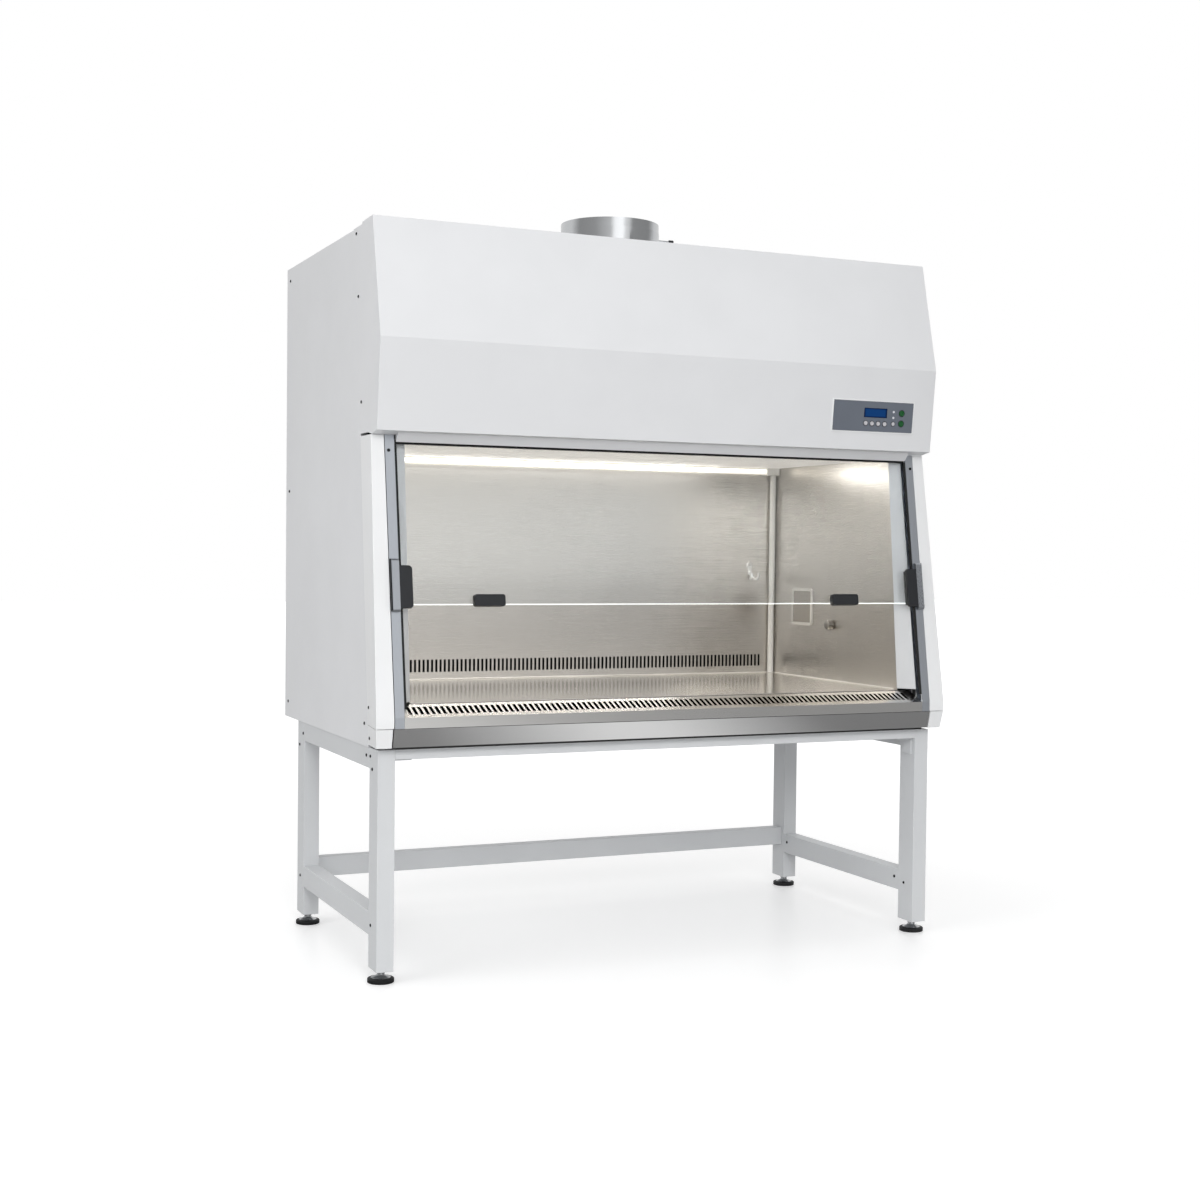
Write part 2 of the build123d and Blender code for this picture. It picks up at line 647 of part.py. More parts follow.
def front_post_section(z):
    """Inner front post cut at one height: a splayed face with an edge turned back behind the rail."""
    share = (CEILING_Z - z) / (CEILING_Z - TRAY_Z)
    rear = LINER_FRONT_TOP_DEPTH + (LINER_FRONT_LOW_DEPTH - LINER_FRONT_TOP_DEPTH) * share
    front = sash_depth(z) - GLASS_BACK - GLASS - 6
    inner, outer = LINER_HALF, SEAL_INNER + 2
    points = [
        (inner, rear + GAP), (outer, front), (outer, front - 20), (outer - LINER_SHEET, front - 20),
        (outer - LINER_SHEET, front - 2 * LINER_SHEET), (inner + LINER_SHEET, rear + GAP),
    ]
    return make_face(Polyline([(x, y_at(depth), z) for x, depth in points], close=True))


def front_posts():
    post = loft([front_post_section(CEILING_Z), front_post_section(TRAY_Z + 4)], ruled=True)
    return both_sides(post)


# ================= sash =================


def sash_glass():
    low, high = along_sash(GLASS_LOW_Z), along_sash(GLASS_TOP_Z)
    return sash_block(-GLASS_HALF, GLASS_HALF, low, high, -GLASS_BACK - GLASS, -GLASS_BACK)


def sash_top_rail():
    """Channel clamped over the top edge of the glass, where the cables are fixed."""
    high = along_sash(GLASS_TOP_Z)
    half = GLASS_HALF - 4
    bar = sash_block(-half, half, high - TOP_RAIL, high + SHEET, -GLASS_BACK - GLASS - SHEET, -GLASS_BACK + SHEET)
    groove = sash_block(-half - 1, half + 1, high - TOP_RAIL - 1, high, -GLASS_BACK - GLASS, -GLASS_BACK)
    return bar - groove


def side_grips():
    """Black grip blocks at the glass's side edges, each with a buffer strip outside its bracket."""
    low, high = along_sash(GRIP_LOW_Z), along_sash(GRIP_TOP_Z)
    block = sash_block(GRIP_INNER, GRIP_OUTER, low, high, 1.5, GRIP_OUT)
    long_edges = [e for e in block.edges() if abs(e.tangent_at(0.5).dot(SASH_PLANE.z_dir)) > 0.9]
    inner = [e for e in long_edges if e.center().X < (GRIP_INNER + GRIP_OUTER) / 2]
    block = chamfer(inner, 6)
    foot = sash_block(GRIP_INNER + 4, SEAL_INNER - 3, low + 6, high - 6, -GLASS_BACK, 1.5)
    strip_low, strip_high = along_sash(BRACKET_LOW_Z) + 3, along_sash(BRACKET_TOP_Z)
    strip = sash_block(BRACKET_OUTER, BRACKET_OUTER + BUFFER, strip_low, strip_high, 1.5, GRIP_OUT - 3)
    return both_sides(group([block + foot, strip]))


def side_brackets():
    """Aluminium bars that ride in front of the rails, screwed to the side grips."""
    low, high = along_sash(BRACKET_LOW_Z), along_sash(BRACKET_TOP_Z)
    bar = sash_block(GRIP_OUTER, BRACKET_OUTER, low, high, 1.5, GRIP_OUT)
    top_edges = [
        e for e in bar.edges()
        if abs(e.tangent_at(0.5).X) > 0.9 and (e.center() - SASH_PLANE.origin).dot(SASH_PLANE.z_dir) > GRIP_OUT - 1
    ]
    return both_sides(chamfer(top_edges, 5))


def bottom_grips():
    """Two grips that wrap under the lower edge of the glass."""
    low, high = along_sash(EDGE_GRIP_LOW_Z), along_sash(EDGE_GRIP_TOP_Z)
    edge = along_sash(GLASS_LOW_Z)
    x0, x1 = EDGE_GRIP_X - EDGE_GRIP_LENGTH / 2, EDGE_GRIP_X + EDGE_GRIP_LENGTH / 2
    block = sash_block(x0, x1, low, high, -GLASS_BACK, GRIP_OUT - 4)
    corners = [e for e in block.edges() if abs(e.tangent_at(0.5).dot(SASH_PLANE.z_dir)) > 0.9]
    block = chamfer(corners, 4)
    under = sash_block(x0 + 8, x1 - 8, low, edge, -GLASS_BACK - GLASS, -GLASS_BACK)
    return both_sides(block + under)


# ================= sash counterbalance =================


def pulley(x):
    """A pulley with a V groove about the X axis."""
    half = PULLEY_WIDTH / 2
    floor = PULLEY_R - 2 * CABLE_R
    cone = frustum(PULLEY_R + 2, floor, half, DRUM_SIDES)
    cones = Pos(0, 0, -half) * cone + mirror(Pos(0, 0, -half) * cone, about=Plane.XY)
    return Pos(x, y_at(SHAFT_DEPTH), SHAFT_Z) * Rot(0, 90, 0) * cones


def lift_shaft():
    """Cross shaft with a pulley keyed on each end, so that both cables run together."""
    shaft = rod_x(-SHAFT_HALF, SHAFT_HALF, SHAFT_DEPTH, SHAFT_Z, SHAFT_R)
    return shaft + pulley(PULLEY_X) + pulley(-PULLEY_X)


def shaft_hangers():
    """Bearing blocks that hang the cross shaft from the hood's top."""
    top = HOOD_TOP_REAR_Z - SHEET
    block = slab(HANGER_X - 8, HANGER_X + 8, SHAFT_DEPTH - 14, SHAFT_DEPTH + 8, SHAFT_Z - 14, top)
    foot = slab(HANGER_X - 24, HANGER_X + 24, SHAFT_DEPTH - 30, SHAFT_DEPTH + 8, top - 4, top)
    bore = prism_x(HANGER_X - 9, HANGER_X + 9, SHAFT_DEPTH, SHAFT_Z, SHAFT_R + BEARING_CLEARANCE, DRUM_SIDES)
    return both_sides(block + foot - bore)


def sash_cables():
    """Cables from the top rail of the glass up to the pulleys, along the sash plane."""
    tangent = SHAFT_DEPTH + PULLEY_R
    top = Vector(PULLEY_X, y_at(tangent), SHAFT_Z)
    foot_local = Vector(PULLEY_X, along_sash(GLASS_TOP_Z) + SHEET + GAP, -GLASS_BACK - GLASS / 2)
    foot = SASH_PLANE.from_local_coords(foot_local)
    run = top - foot
    cable = Plane(origin=foot, z_dir=run) * Pos(0, 0, run.length / 2) * prism(CABLE_R, run.length, BAR_SIDES)
    return both_sides(cable)


def weight_cables():
    """Cables from the pulleys straight down to the counterweights."""
    depth = SHAFT_DEPTH - PULLEY_R
    return both_sides(prism_z(PULLEY_X, depth, WEIGHT_TOP_Z + GAP, SHAFT_Z, CABLE_R, BAR_SIDES))


def counterweight():
    """Right counterweight, a steel bar with an eye for its cable."""
    depth = SHAFT_DEPTH - PULLEY_R
    x0, x1 = PULLEY_X - WEIGHT_WIDE / 2, PULLEY_X + WEIGHT_WIDE / 2
    bar = slab(x0, x1, depth - WEIGHT_DEEP / 2, depth + WEIGHT_DEEP / 2, WEIGHT_TOP_Z - WEIGHT_TALL, WEIGHT_TOP_Z - 14)
    bar = chamfer(bar.faces().sort_by(Axis.Z)[0].edges(), 6)
    eye = slab(PULLEY_X - 3, PULLEY_X + 3, depth - 10, depth + 10, WEIGHT_TOP_Z - 14, WEIGHT_TOP_Z)
    return bar + eye


# ================= work chamber =================


def slotted(sheet, cutter, half, margin, pitch, shift=0.0):
    """A sheet with as many equal slots across X as fit between its plain ends."""
    count = int(2 * (half - margin) / pitch)
    first = shift - (count - 1) * pitch / 2
    cutters = Part() + [Pos(first + i * pitch, 0, 0) * cutter for i in range(count)]
    return sheet - cutters


def rear_baffle():
    """Rear wall of the chamber, slotted along its foot where the air goes down."""
    sheet = slab(
        -LINER_HALF, LINER_HALF, BAFFLE_DEPTH - LINER_SHEET, BAFFLE_DEPTH,
        TRAY_Z - TRAY_SKIRT - 2, CEILING_Z,
    )
    tall = BAFFLE_SLOT_TOP_Z - BAFFLE_SLOT_LOW_Z
    slot = slab(
        -BAFFLE_SLOT_WIDE / 2, BAFFLE_SLOT_WIDE / 2, BAFFLE_DEPTH - LINER_SHEET - 1, BAFFLE_DEPTH + 1,
        BAFFLE_SLOT_LOW_Z, BAFFLE_SLOT_LOW_Z + tall,
    )
    return slotted(sheet, slot, LINER_HALF, BAFFLE_MARGIN, BAFFLE_PITCH)


def liner_wall():
    """Right wall of the chamber, standing in the pan, with a ledge for the trays and a flange on top."""
    low = TRAY_Z - TRAY_SKIRT - LINER_SHEET
    slope = (LINER_FRONT_LOW_DEPTH - LINER_FRONT_TOP_DEPTH) / (CEILING_Z - TRAY_Z)
    low_front = LINER_FRONT_LOW_DEPTH + (TRAY_Z - low) * slope
    foot = BODY_BOTTOM + 2 * SHEET
    outline = [
        (BAFFLE_DEPTH - LINER_SHEET, foot), (low_front - 30, foot), (low_front - 30, TRAY_Z),
        (LINER_FRONT_LOW_DEPTH, TRAY_Z), (LINER_FRONT_TOP_DEPTH, CEILING_Z), (BAFFLE_DEPTH - LINER_SHEET, CEILING_Z),
    ]
    wall = extrude_profile(outline, LINER_HALF, LINER_HALF + LINER_SHEET)
    ledge = slab(LINER_HALF - LEDGE, LINER_HALF, BAFFLE_DEPTH + GAP, low_front - 30, low, low + LINER_SHEET)
    flange = slab(
        LINER_HALF, LINER_HALF + FLANGE / 2, BAFFLE_DEPTH, LINER_FRONT_TOP_DEPTH - 60,
        CEILING_Z - LINER_SHEET, CEILING_Z,
    )
    return wall + ledge + flange


def liner_walls():
    right = liner_wall()
    left = left_of(liner_wall())
    x0, x1 = LINER_HALF - 1, LINER_HALF + LINER_SHEET + 1
    half_long = OUTLET_LONG / 2 - OUTLET_BORDER
    half_tall = OUTLET_TALL / 2 - OUTLET_BORDER
    opening = slab(
        x0, x1, OUTLET_DEPTH - half_long, OUTLET_DEPTH + half_long, OUTLET_Z - half_tall, OUTLET_Z + half_tall
    )
    stem_hole = prism_x(x0, x1, VALVE_DEPTH, VALVE_Z, VALVE_STEM_R + GAP, BAR_SIDES)
    return group([right - opening - stem_hole, left])


def ceiling_diffuser():
    """Bright ceiling panel between the walls, with its edges turned up."""
    half = LINER_HALF - GAP
    rear, front = BAFFLE_DEPTH + GAP, LINER_FRONT_TOP_DEPTH - 6
    low = CEILING_Z
    block = slab(-half, half, rear, front, low, low + 8)
    hollow = slab(-half + 2, half - 2, rear + 2, front - 2, low + 2, low + 9)
    return block - hollow


def lamp_tube():
    return prism_x(-LAMP_HALF, LAMP_HALF, LAMP_DEPTH, LAMP_Z, LAMP_R, DRUM_SIDES)


def lamp_holders():
    """End sockets of the tube lamp, and the conduit that leads down the right rear corner."""
    sockets = []
    reach = LAMP_R + 3
    for side in (-1, 1):
        inner, outer = side * (LAMP_HALF - 8), side * (CONDUIT_X + CONDUIT_R)
        block = slab(inner, outer, BAFFLE_DEPTH, LAMP_DEPTH + reach, LAMP_Z - reach, CEILING_Z - GAP)
        well = prism_x(inner - side, side * LAMP_HALF, LAMP_DEPTH, LAMP_Z, LAMP_R + GAP / 3, DRUM_SIDES)
        sockets.append(block - well)
    conduit = prism_z(CONDUIT_X, CONDUIT_DEPTH, TRAY_Z + 1, LAMP_Z - reach, CONDUIT_R, DRUM_SIDES)
    return group([sockets[0], sockets[1] + conduit])


def work_tray(x0, x1):
    """A removable tray: a flat top with its four edges turned down."""
    rear, front = BAFFLE_DEPTH + GAP, GRILLE_REAR[0] - GAP
    block = slab(x0, x1, rear, front, TRAY_Z - TRAY_SKIRT, TRAY_Z)
    hollow = slab(x0 + 2, x1 - 2, rear + 2, front - 2, TRAY_Z - TRAY_SKIRT - 1, TRAY_Z - 2)
    return block - hollow


def work_trays():
    edge = LINER_HALF - 0.8
    return group([work_tray(-edge, TRAY_SPLIT_X - 0.4), work_tray(TRAY_SPLIT_X + 0.4, edge)])


def front_grille():
    """Sloping intake grille in front of the trays, with its front edge turned down into a step."""
    low = (SASH_FOLD[0] - 0.5, TRIM_DROP_Z)
    points = [
        (GRILLE_REAR[0], GRILLE_REAR[1] - 22), GRILLE_REAR, SASH_FOLD, low, (low[0] - 24, TRIM_DROP_Z),
    ]
    sheet = folded_sheet(points, -LINER_SHEET, -RAIL_INNER + GAP, RAIL_INNER - GAP)
    slope = degrees(atan2(GRILLE_REAR[1] - SASH_FOLD[1], SASH_FOLD[0] - GRILLE_REAR[0]))
    middle_depth = (GRILLE_REAR[0] + SASH_FOLD[0]) / 2
    middle_z = (GRILLE_REAR[1] + SASH_FOLD[1]) / 2
    slot = Pos(0, y_at(middle_depth), middle_z) * Rot(slope, 0, 0) * Box(GRILLE_SLOT_WIDE, GRILLE_SLOT_LONG, 12)
    return slotted(sheet, slot, RAIL_INNER - GAP, GRILLE_MARGIN, GRILLE_PITCH, GRILLE_SHIFT)


def front_apron():
    """Stainless front between the end caps, hooked over the pan's brim and leaning back towards its foot."""
    top = (SASH_FOLD[0] - 2, TRIM_DROP_Z - SEAM_LINE)
    foot = (CAP_FRONT_DEPTH - 1, CAP_BOTTOM_Z + 1)
    points = [(PAN_FRONT_DEPTH - SHEET, top[1]), top, foot, (PAN_FRONT_DEPTH + GAP, foot[1])]
    return folded_sheet(points, -LINER_SHEET, -TRIM_INNER, TRIM_INNER)


def coat_hook():
    """Hook on the rear wall: a drilled plate that narrows to a neck, and two splayed prongs."""
    front = BAFFLE_DEPTH + HOOK_SHEET
    wide, low = HOOK_PLATE / 2, HOOK_TOP_Z - HOOK_TALL
    corners = (
        (-wide, HOOK_TOP_Z - 6), (6 - wide, HOOK_TOP_Z), (wide - 6, HOOK_TOP_Z), (wide, HOOK_TOP_Z - 6),
        (wide, HOOK_TOP_Z - 16), (HOOK_NECK, HOOK_TOP_Z - 22), (HOOK_NECK, low), (-HOOK_NECK, low),
        (-HOOK_NECK, HOOK_TOP_Z - 22), (-wide, HOOK_TOP_Z - 16),
    )
    outline = Polyline([(HOOK_X + x, y_at(front), z) for x, z in corners], close=True)
    plate = extrude(make_face(outline), amount=HOOK_SHEET, dir=(0, 1, 0))
    hole = Pos(HOOK_X, y_at(front), HOOK_TOP_Z - 10) * Rot(90, 0, 0) * prism(3, 4 * HOOK_SHEET, BAR_SIDES)
    line = [(-2, 0), (14, -6), (20, -16), (30, -17), (36, -9), (36, 0), (42, 0), (42, -13), (33, -23), (17, -22), (8, -11), (-2, -6)]
    prong = extrude_profile([(front + d, low + 6 + z) for d, z in line], -HOOK_PRONG / 2, HOOK_PRONG / 2)
    root = Pos(HOOK_X, y_at(front), 0)
    upright = Pos(0, -y_at(front), 0) * prong
    return plate - hole + [root * Rot(0, 0, turn) * upright for turn in (-HOOK_SPLAY, HOOK_SPLAY)]


# ================= outlet and service valve =================


def outlet_frame():
    """Outlet frame with its box behind the wall and two round sockets behind the flap."""
    long, tall = OUTLET_LONG, OUTLET_TALL
    x = LINER_HALF
    face_plane = Plane(origin=(x, y_at(OUTLET_DEPTH), OUTLET_Z), x_dir=(0, 1, 0), z_dir=(-1, 0, 0))
    border = chamfer(Rectangle(long, tall).vertices(), 8) - Rectangle(long - 2 * OUTLET_BORDER, tall - 2 * OUTLET_BORDER)
    ring = face_plane * extrude(border, amount=OUTLET_PROUD)
    inner_long, inner_tall = long - 2 * OUTLET_BORDER - 1, tall - 2 * OUTLET_BORDER - 1
    box = face_plane * Pos(0, 0, -OUTLET_BOX) * extrude(Rectangle(inner_long, inner_tall), amount=OUTLET_BOX)
    bridge = face_plane * extrude(Rectangle(inner_long + 1.2, inner_tall + 1.2), amount=1)
    box += bridge
    box -= face_plane * Pos(0, 0, -8) * extrude(Rectangle(inner_long - 6, inner_tall - 6), amount=10)
    for side in (-1, 1):
        box -= face_plane * Pos(side * inner_long / 4, 0, -12) * prism(17, 9, DRUM_SIDES)
    return ring + box


def flap_hinge_z():
    """Height of the flap's hinge line."""
    return OUTLET_Z + OUTLET_TALL / 2 - OUTLET_BORDER - FLAP


def outlet_flap():
    """Sprung cover inside the frame, hinged along its top edge."""
    half_long = OUTLET_LONG / 2 - OUTLET_BORDER - 1
    low = OUTLET_Z - OUTLET_TALL / 2 + OUTLET_BORDER + 1
    back = LINER_HALF - 1 - GAP
    leaf = slab(
        back - FLAP, back, OUTLET_DEPTH - half_long, OUTLET_DEPTH + half_long, low, flap_hinge_z()
    )
    leaf = chamfer(leaf.edges().filter_by(Axis.X), 3)
    barrel = Pos(back - FLAP / 2, y_at(OUTLET_DEPTH), flap_hinge_z()) * Rot(90, 0, 0) * Cylinder(FLAP / 2, 2 * half_long - 10)
    return leaf + barrel


def valve_knob():
    """Eight-sided metal knob of the service valve with its stem through the wall."""
    x1 = LINER_HALF - 3
    x0 = x1 - VALVE_LONG
    grip = prism_x(x0, x1, VALVE_DEPTH, VALVE_Z, VALVE_R, VALVE_SIDES)
    grip = chamfer(grip.faces().sort_by(Axis.X)[0].edges(), 2.5)
    stem = rod_x(x1, LINER_HALF + 26, VALVE_DEPTH, VALVE_Z, VALVE_STEM_R)
    return grip + stem


# ================= plenum, filters and blower =================


def plenum_box():
    """Pressure plenum over the supply filter, standing on the liner walls' flanges."""
    half = LINER_HALF + FLANGE / 2
    rear = BAFFLE_DEPTH
    block = slab(-half, half, rear, PLENUM_FRONT_DEPTH, CEILING_Z + 9, PLENUM_TOP_Z)
    hollow = slab(
        -half + SHEET, half - SHEET, rear + SHEET, PLENUM_FRONT_DEPTH - SHEET, CEILING_Z + 8, PLENUM_TOP_Z - SHEET
    )
    outlet = slab(
        -BLOWER_WIDE / 2 + SHEET, BLOWER_WIDE / 2 - SHEET, BLOWER_DEPTH + SCROLL_R - 84, BLOWER_DEPTH + SCROLL_R - 4,
        PLENUM_TOP_Z - 5, PLENUM_TOP_Z + 5,
    )
    feet = slab(LINER_HALF - 4, half, rear, LINER_FRONT_TOP_DEPTH - 60, CEILING_Z, CEILING_Z + 9)
    feet -= slab(LINER_HALF - 5, LINER_HALF + SHEET, rear - 1, LINER_FRONT_TOP_DEPTH, CEILING_Z - 1, CEILING_Z + 10)
    return block - hollow - outlet + both_sides(feet)


def supply_filter():
    """Framed filter pack above the ceiling, with its media set back from the frame's edges."""
    half = LINER_HALF + FLANGE / 2 - SHEET - GAP - 8
    rear, front = BAFFLE_DEPTH + SHEET + 8, PLENUM_FRONT_DEPTH - SHEET - 8
    low = CEILING_Z + 8 + GAP
    block = slab(-half, half, rear, front, low, low + FILTER_TALL)
    for z0, z1 in ((low - 1, low + 10), (low + FILTER_TALL - 10, low + FILTER_TALL + 1)):
        block -= slab(-half + 18, half - 18, rear + 18, front - 18, z0, z1)
    return block


def exhaust_filter():
    """Framed filter pack hung under the roof below the exhaust collar."""
    top = ROOF_TOP - 2 * SHEET
    low = top - EXHAUST_FILTER_TALL
    half, half_deep = EXHAUST_FILTER_X / 2, EXHAUST_FILTER_DEEP / 2
    block = slab(-half, half, COLLAR_DEPTH - half_deep, COLLAR_DEPTH + half_deep, low, top)
    for z0, z1 in ((low - 1, low + 8), (top - 8, top + 1)):
        block -= slab(
            -half + 6, half - 6, COLLAR_DEPTH - half_deep + 6, COLLAR_DEPTH + half_deep - 6, z0, z1
        )
    return block


def scroll_points(grow):
    """The spiral outline of the blower housing, running down to its outlet on the plenum."""
    points = []
    turns = 14
    for i in range(turns + 1):
        angle = radians(-90 + 270 * i / turns)
        radius = SCROLL_R - 22 + 22 * i / turns + grow
        points.append((BLOWER_DEPTH - radius * cos(angle), BLOWER_Z + radius * sin(angle)))
    return points


def blower_housing():
    """Scroll housing with a round inlet in each side and its outlet into the plenum."""
    half = BLOWER_WIDE / 2
    foot = PLENUM_TOP_Z
    outer = scroll_points(0)
    right = BLOWER_DEPTH + SCROLL_R
    outline = outer[:-1] + [(right, BLOWER_Z), (right, foot), (right - 86, foot), (right - 86, outer[0][1])]
    block = extrude_profile(outline, -half, half)
    inner = scroll_points(-SHEET)
    inner_line = inner[:-1] + [
        (right - SHEET, BLOWER_Z), (right - SHEET, foot - 1), (right - 86 + SHEET, foot - 1),
        (right - 86 + SHEET, inner[0][1]),
    ]
    hollow = extrude_profile(inner_line, -half + SHEET, half - SHEET)
    inlet = prism_x(-half - 1, half + 1, BLOWER_DEPTH, BLOWER_Z, IMPELLER_R - 8, DRUM_SIDES)
    flange = slab(-half - 14, half + 14, right - 100, right + 14, foot, foot + 3)
    flange -= slab(-half + 1, half - 1, right - 85, right - 1, foot - 1, foot + 4)
    return block - hollow - inlet + flange


def blower_motor():
    """Motor in the middle of the impeller, held by arms to the housing's left side."""
    half = BLOWER_WIDE / 2
    can = prism_x(-46, 46, BLOWER_DEPTH, BLOWER_Z, MOTOR_R, DRUM_SIDES)
    tip = Pos(46, y_at(BLOWER_DEPTH), BLOWER_Z) * Rot(0, 90, 0)
    shaft = tip * extrude(RegularPolygon(MOTOR_SHAFT_R, DRUM_SIDES), amount=16)
    neck = prism_x(-half - 6, -46, BLOWER_DEPTH, BLOWER_Z, 16, BAR_SIDES)
    arms = Part()
    for angle in (0, 60, 120):
        arm = Pos(-half - 3, y_at(BLOWER_DEPTH), BLOWER_Z) * Rot(angle, 0, 0) * Box(6, 14, 2 * IMPELLER_R + 2)
        arms += arm
    return can + shaft + neck + arms


def blower_impeller():
    """Drum of forward-curved blades between two rings, on a hub plate that turns on the motor shaft."""
    half = BLOWER_WIDE / 2 - 22
    plate_x = 54
    plate = prism_x(plate_x - 1.5, plate_x + 1.5, BLOWER_DEPTH, BLOWER_Z, IMPELLER_R - 1, RING_SIDES)
    hub = prism_x(plate_x - 6, plate_x + 8, BLOWER_DEPTH, BLOWER_Z, 14, BAR_SIDES)
    bore = rod_x(plate_x - 10, plate_x + 10, BLOWER_DEPTH, BLOWER_Z, MOTOR_SHAFT_R + BEARING_CLEARANCE)
    rings = Part()
    for x in (-half, half):
        ring = prism_x(x - 2, x + 2, BLOWER_DEPTH, BLOWER_Z, IMPELLER_R - 1, RING_SIDES)
        rings += ring - prism_x(x - 3, x + 3, BLOWER_DEPTH, BLOWER_Z, IMPELLER_R - 16, RING_SIDES)
    blades = Part()
    for i in range(IMPELLER_BLADES):
        blade = Pos(0, 0, IMPELLER_R - 8) * Rot(38, 0, 0) * Box(2 * half - 4, 1.5, 13)
        blades += Pos(0, y_at(BLOWER_DEPTH), BLOWER_Z) * Rot(360 * i / IMPELLER_BLADES, 0, 0) * blade
    return plate + hub + rings + blades - bore


# ================= exhaust collar and damper =================


def sector(radius, angle, start, thickness):
    """A flat sector of a disc about the Z axis."""
    arc_end = start + angle
    edge = [
        Line((0, 0), (radius * cos(radians(start)), radius * sin(radians(start)))),
        CenterArc((0, 0), radius, start, angle),
        Line((radius * cos(radians(arc_end)), radius * sin(radians(arc_end))), (0, 0)),
    ]
    return extrude(make_face(Wire(edge)), amount=thickness)


def exhaust_collar():
    """Spigot on the roof: a short duct on a foot plate, with fixed damper sectors and a slot for the lever.

    Above the lever's slot the duct is a step narrower, where the sleeve of the ducting is clamped on.
    """
    foot = ROOF_TOP - SHEET
    outer = COLLAR_BORE_R + COLLAR_WALL
    step_z = DAMPER_Z + LEVER_R + 3
    wall = turned(
        [
            (COLLAR_BORE_R, foot), (outer + COLLAR_STEP, foot), (outer + COLLAR_STEP, step_z),
            (outer, step_z), (outer, COLLAR_TOP_Z), (COLLAR_BORE_R, COLLAR_TOP_Z),
        ],
        0, COLLAR_DEPTH,
    )
    plate = slab(-COLLAR_FOOT, COLLAR_FOOT, COLLAR_DEPTH - COLLAR_FOOT, COLLAR_DEPTH + COLLAR_FOOT, foot, foot + COLLAR_WALL)
    plate -= rod_z(0, COLLAR_DEPTH, foot - 1, foot + COLLAR_WALL + 1, COLLAR_BORE_R)
    centre = Pos(0, y_at(COLLAR_DEPTH), DAMPER_Z - 8)
    fixed = Part() + [
        centre * sector(COLLAR_BORE_R + 0.5, 60, 120 * i + 60, 2) for i in range(DAMPER_BLADES)
    ]
    pivot = centre * extrude(RegularPolygon(PIVOT_R, DRUM_SIDES), amount=16)
    slot = Pos(0, y_at(COLLAR_DEPTH), DAMPER_Z - LEVER_R - 1) * sector(outer + 6, DAMPER_SWING + 6, -3, 2 * LEVER_R + 2)
    slot -= Pos(0, y_at(COLLAR_DEPTH), DAMPER_Z) * Cylinder(COLLAR_BORE_R - 4, 20)
    return wall + plate + fixed + pivot - slot


def damper_blade():
    """Turning sectors on the pivot, with the lever that reaches out through the collar's slot."""
    centre = Pos(0, y_at(COLLAR_DEPTH), DAMPER_Z - 1)
    blades = Part() + [
        centre * sector(COLLAR_BORE_R - 1, 56, 120 * i - 58, 2) for i in range(DAMPER_BLADES)
    ]
    hub = centre * Pos(0, 0, 1) * prism(15, 6, 6)
    bore = centre * Pos(0, 0, 1) * Cylinder(PIVOT_R + BEARING_CLEARANCE, 20)
    lever = prism_x(8, LEVER_END_X, COLLAR_DEPTH, DAMPER_Z, LEVER_R, BAR_SIDES)
    return blades + hub + lever - bore


def damper_knob():
    """Round knob on the end of the damper lever."""
    return prism_x(LEVER_END_X, LEVER_END_X + 13, COLLAR_DEPTH, DAMPER_Z, DAMPER_KNOB_R, DRUM_SIDES)


# ================= control panel =================


def control_panel():
    """Slate plate on the hood with its housing through the sheet, and wells for display and buttons."""
    plate = panel_block(PANEL_X, PANEL_Z, PANEL_LONG, PANEL_TALL, 0, PANEL_PROUD)
    housing = panel_block(PANEL_X, PANEL_Z, PANEL_LONG - 26, PANEL_TALL - 18, -PANEL_DEEP, 0)
    body = plate + housing
    body -= panel_block(DISPLAY_X, DISPLAY_Z, DISPLAY_LONG, DISPLAY_TALL, PANEL_PROUD - 2, PANEL_PROUD + 1)
    for z in LIGHT_ZS:
        body -= panel_disc(LIGHT_X, z, LIGHT_R + GAP, PANEL_PROUD - 1.5, PANEL_PROUD + 1)
    for _, x, z, radius in BUTTONS:
        body -= panel_disc(x, z, radius + 0.4, PANEL_PROUD - BUTTON_LONG, PANEL_PROUD + 1)
    return body


def display_window():
    """Display set into its well, a little below the plate's face."""
    return panel_block(
        DISPLAY_X, DISPLAY_Z, DISPLAY_LONG - 2 * GAP, DISPLAY_TALL - 2 * GAP, PANEL_PROUD - 2, PANEL_PROUD - 0.6
    )


def status_lights():
    """Two small lights beside the display, seated in the plate."""
    lights = [panel_disc(LIGHT_X, z, LIGHT_R, PANEL_PROUD - 1.5, PANEL_PROUD + 0.5) for z in LIGHT_ZS]
    return group(lights)


def panel_button(x, z, radius):
    """A push button, clear of its well's floor by its travel."""
    floor = PANEL_PROUD - BUTTON_LONG + BUTTON_TRAVEL + GAP
    return panel_disc(x, z, radius, floor, PANEL_PROUD + BUTTON_PROUD)


# ================= screws =================


def side_screw(depth, z, x, inward=False):
    """A screw head on a face across X, outside it or on its inner side."""
    far = x - SCREW_HEAD if inward else x + SCREW_HEAD
    return prism_x(x, far, depth, z, SCREW_R, SCREW_SIDES)


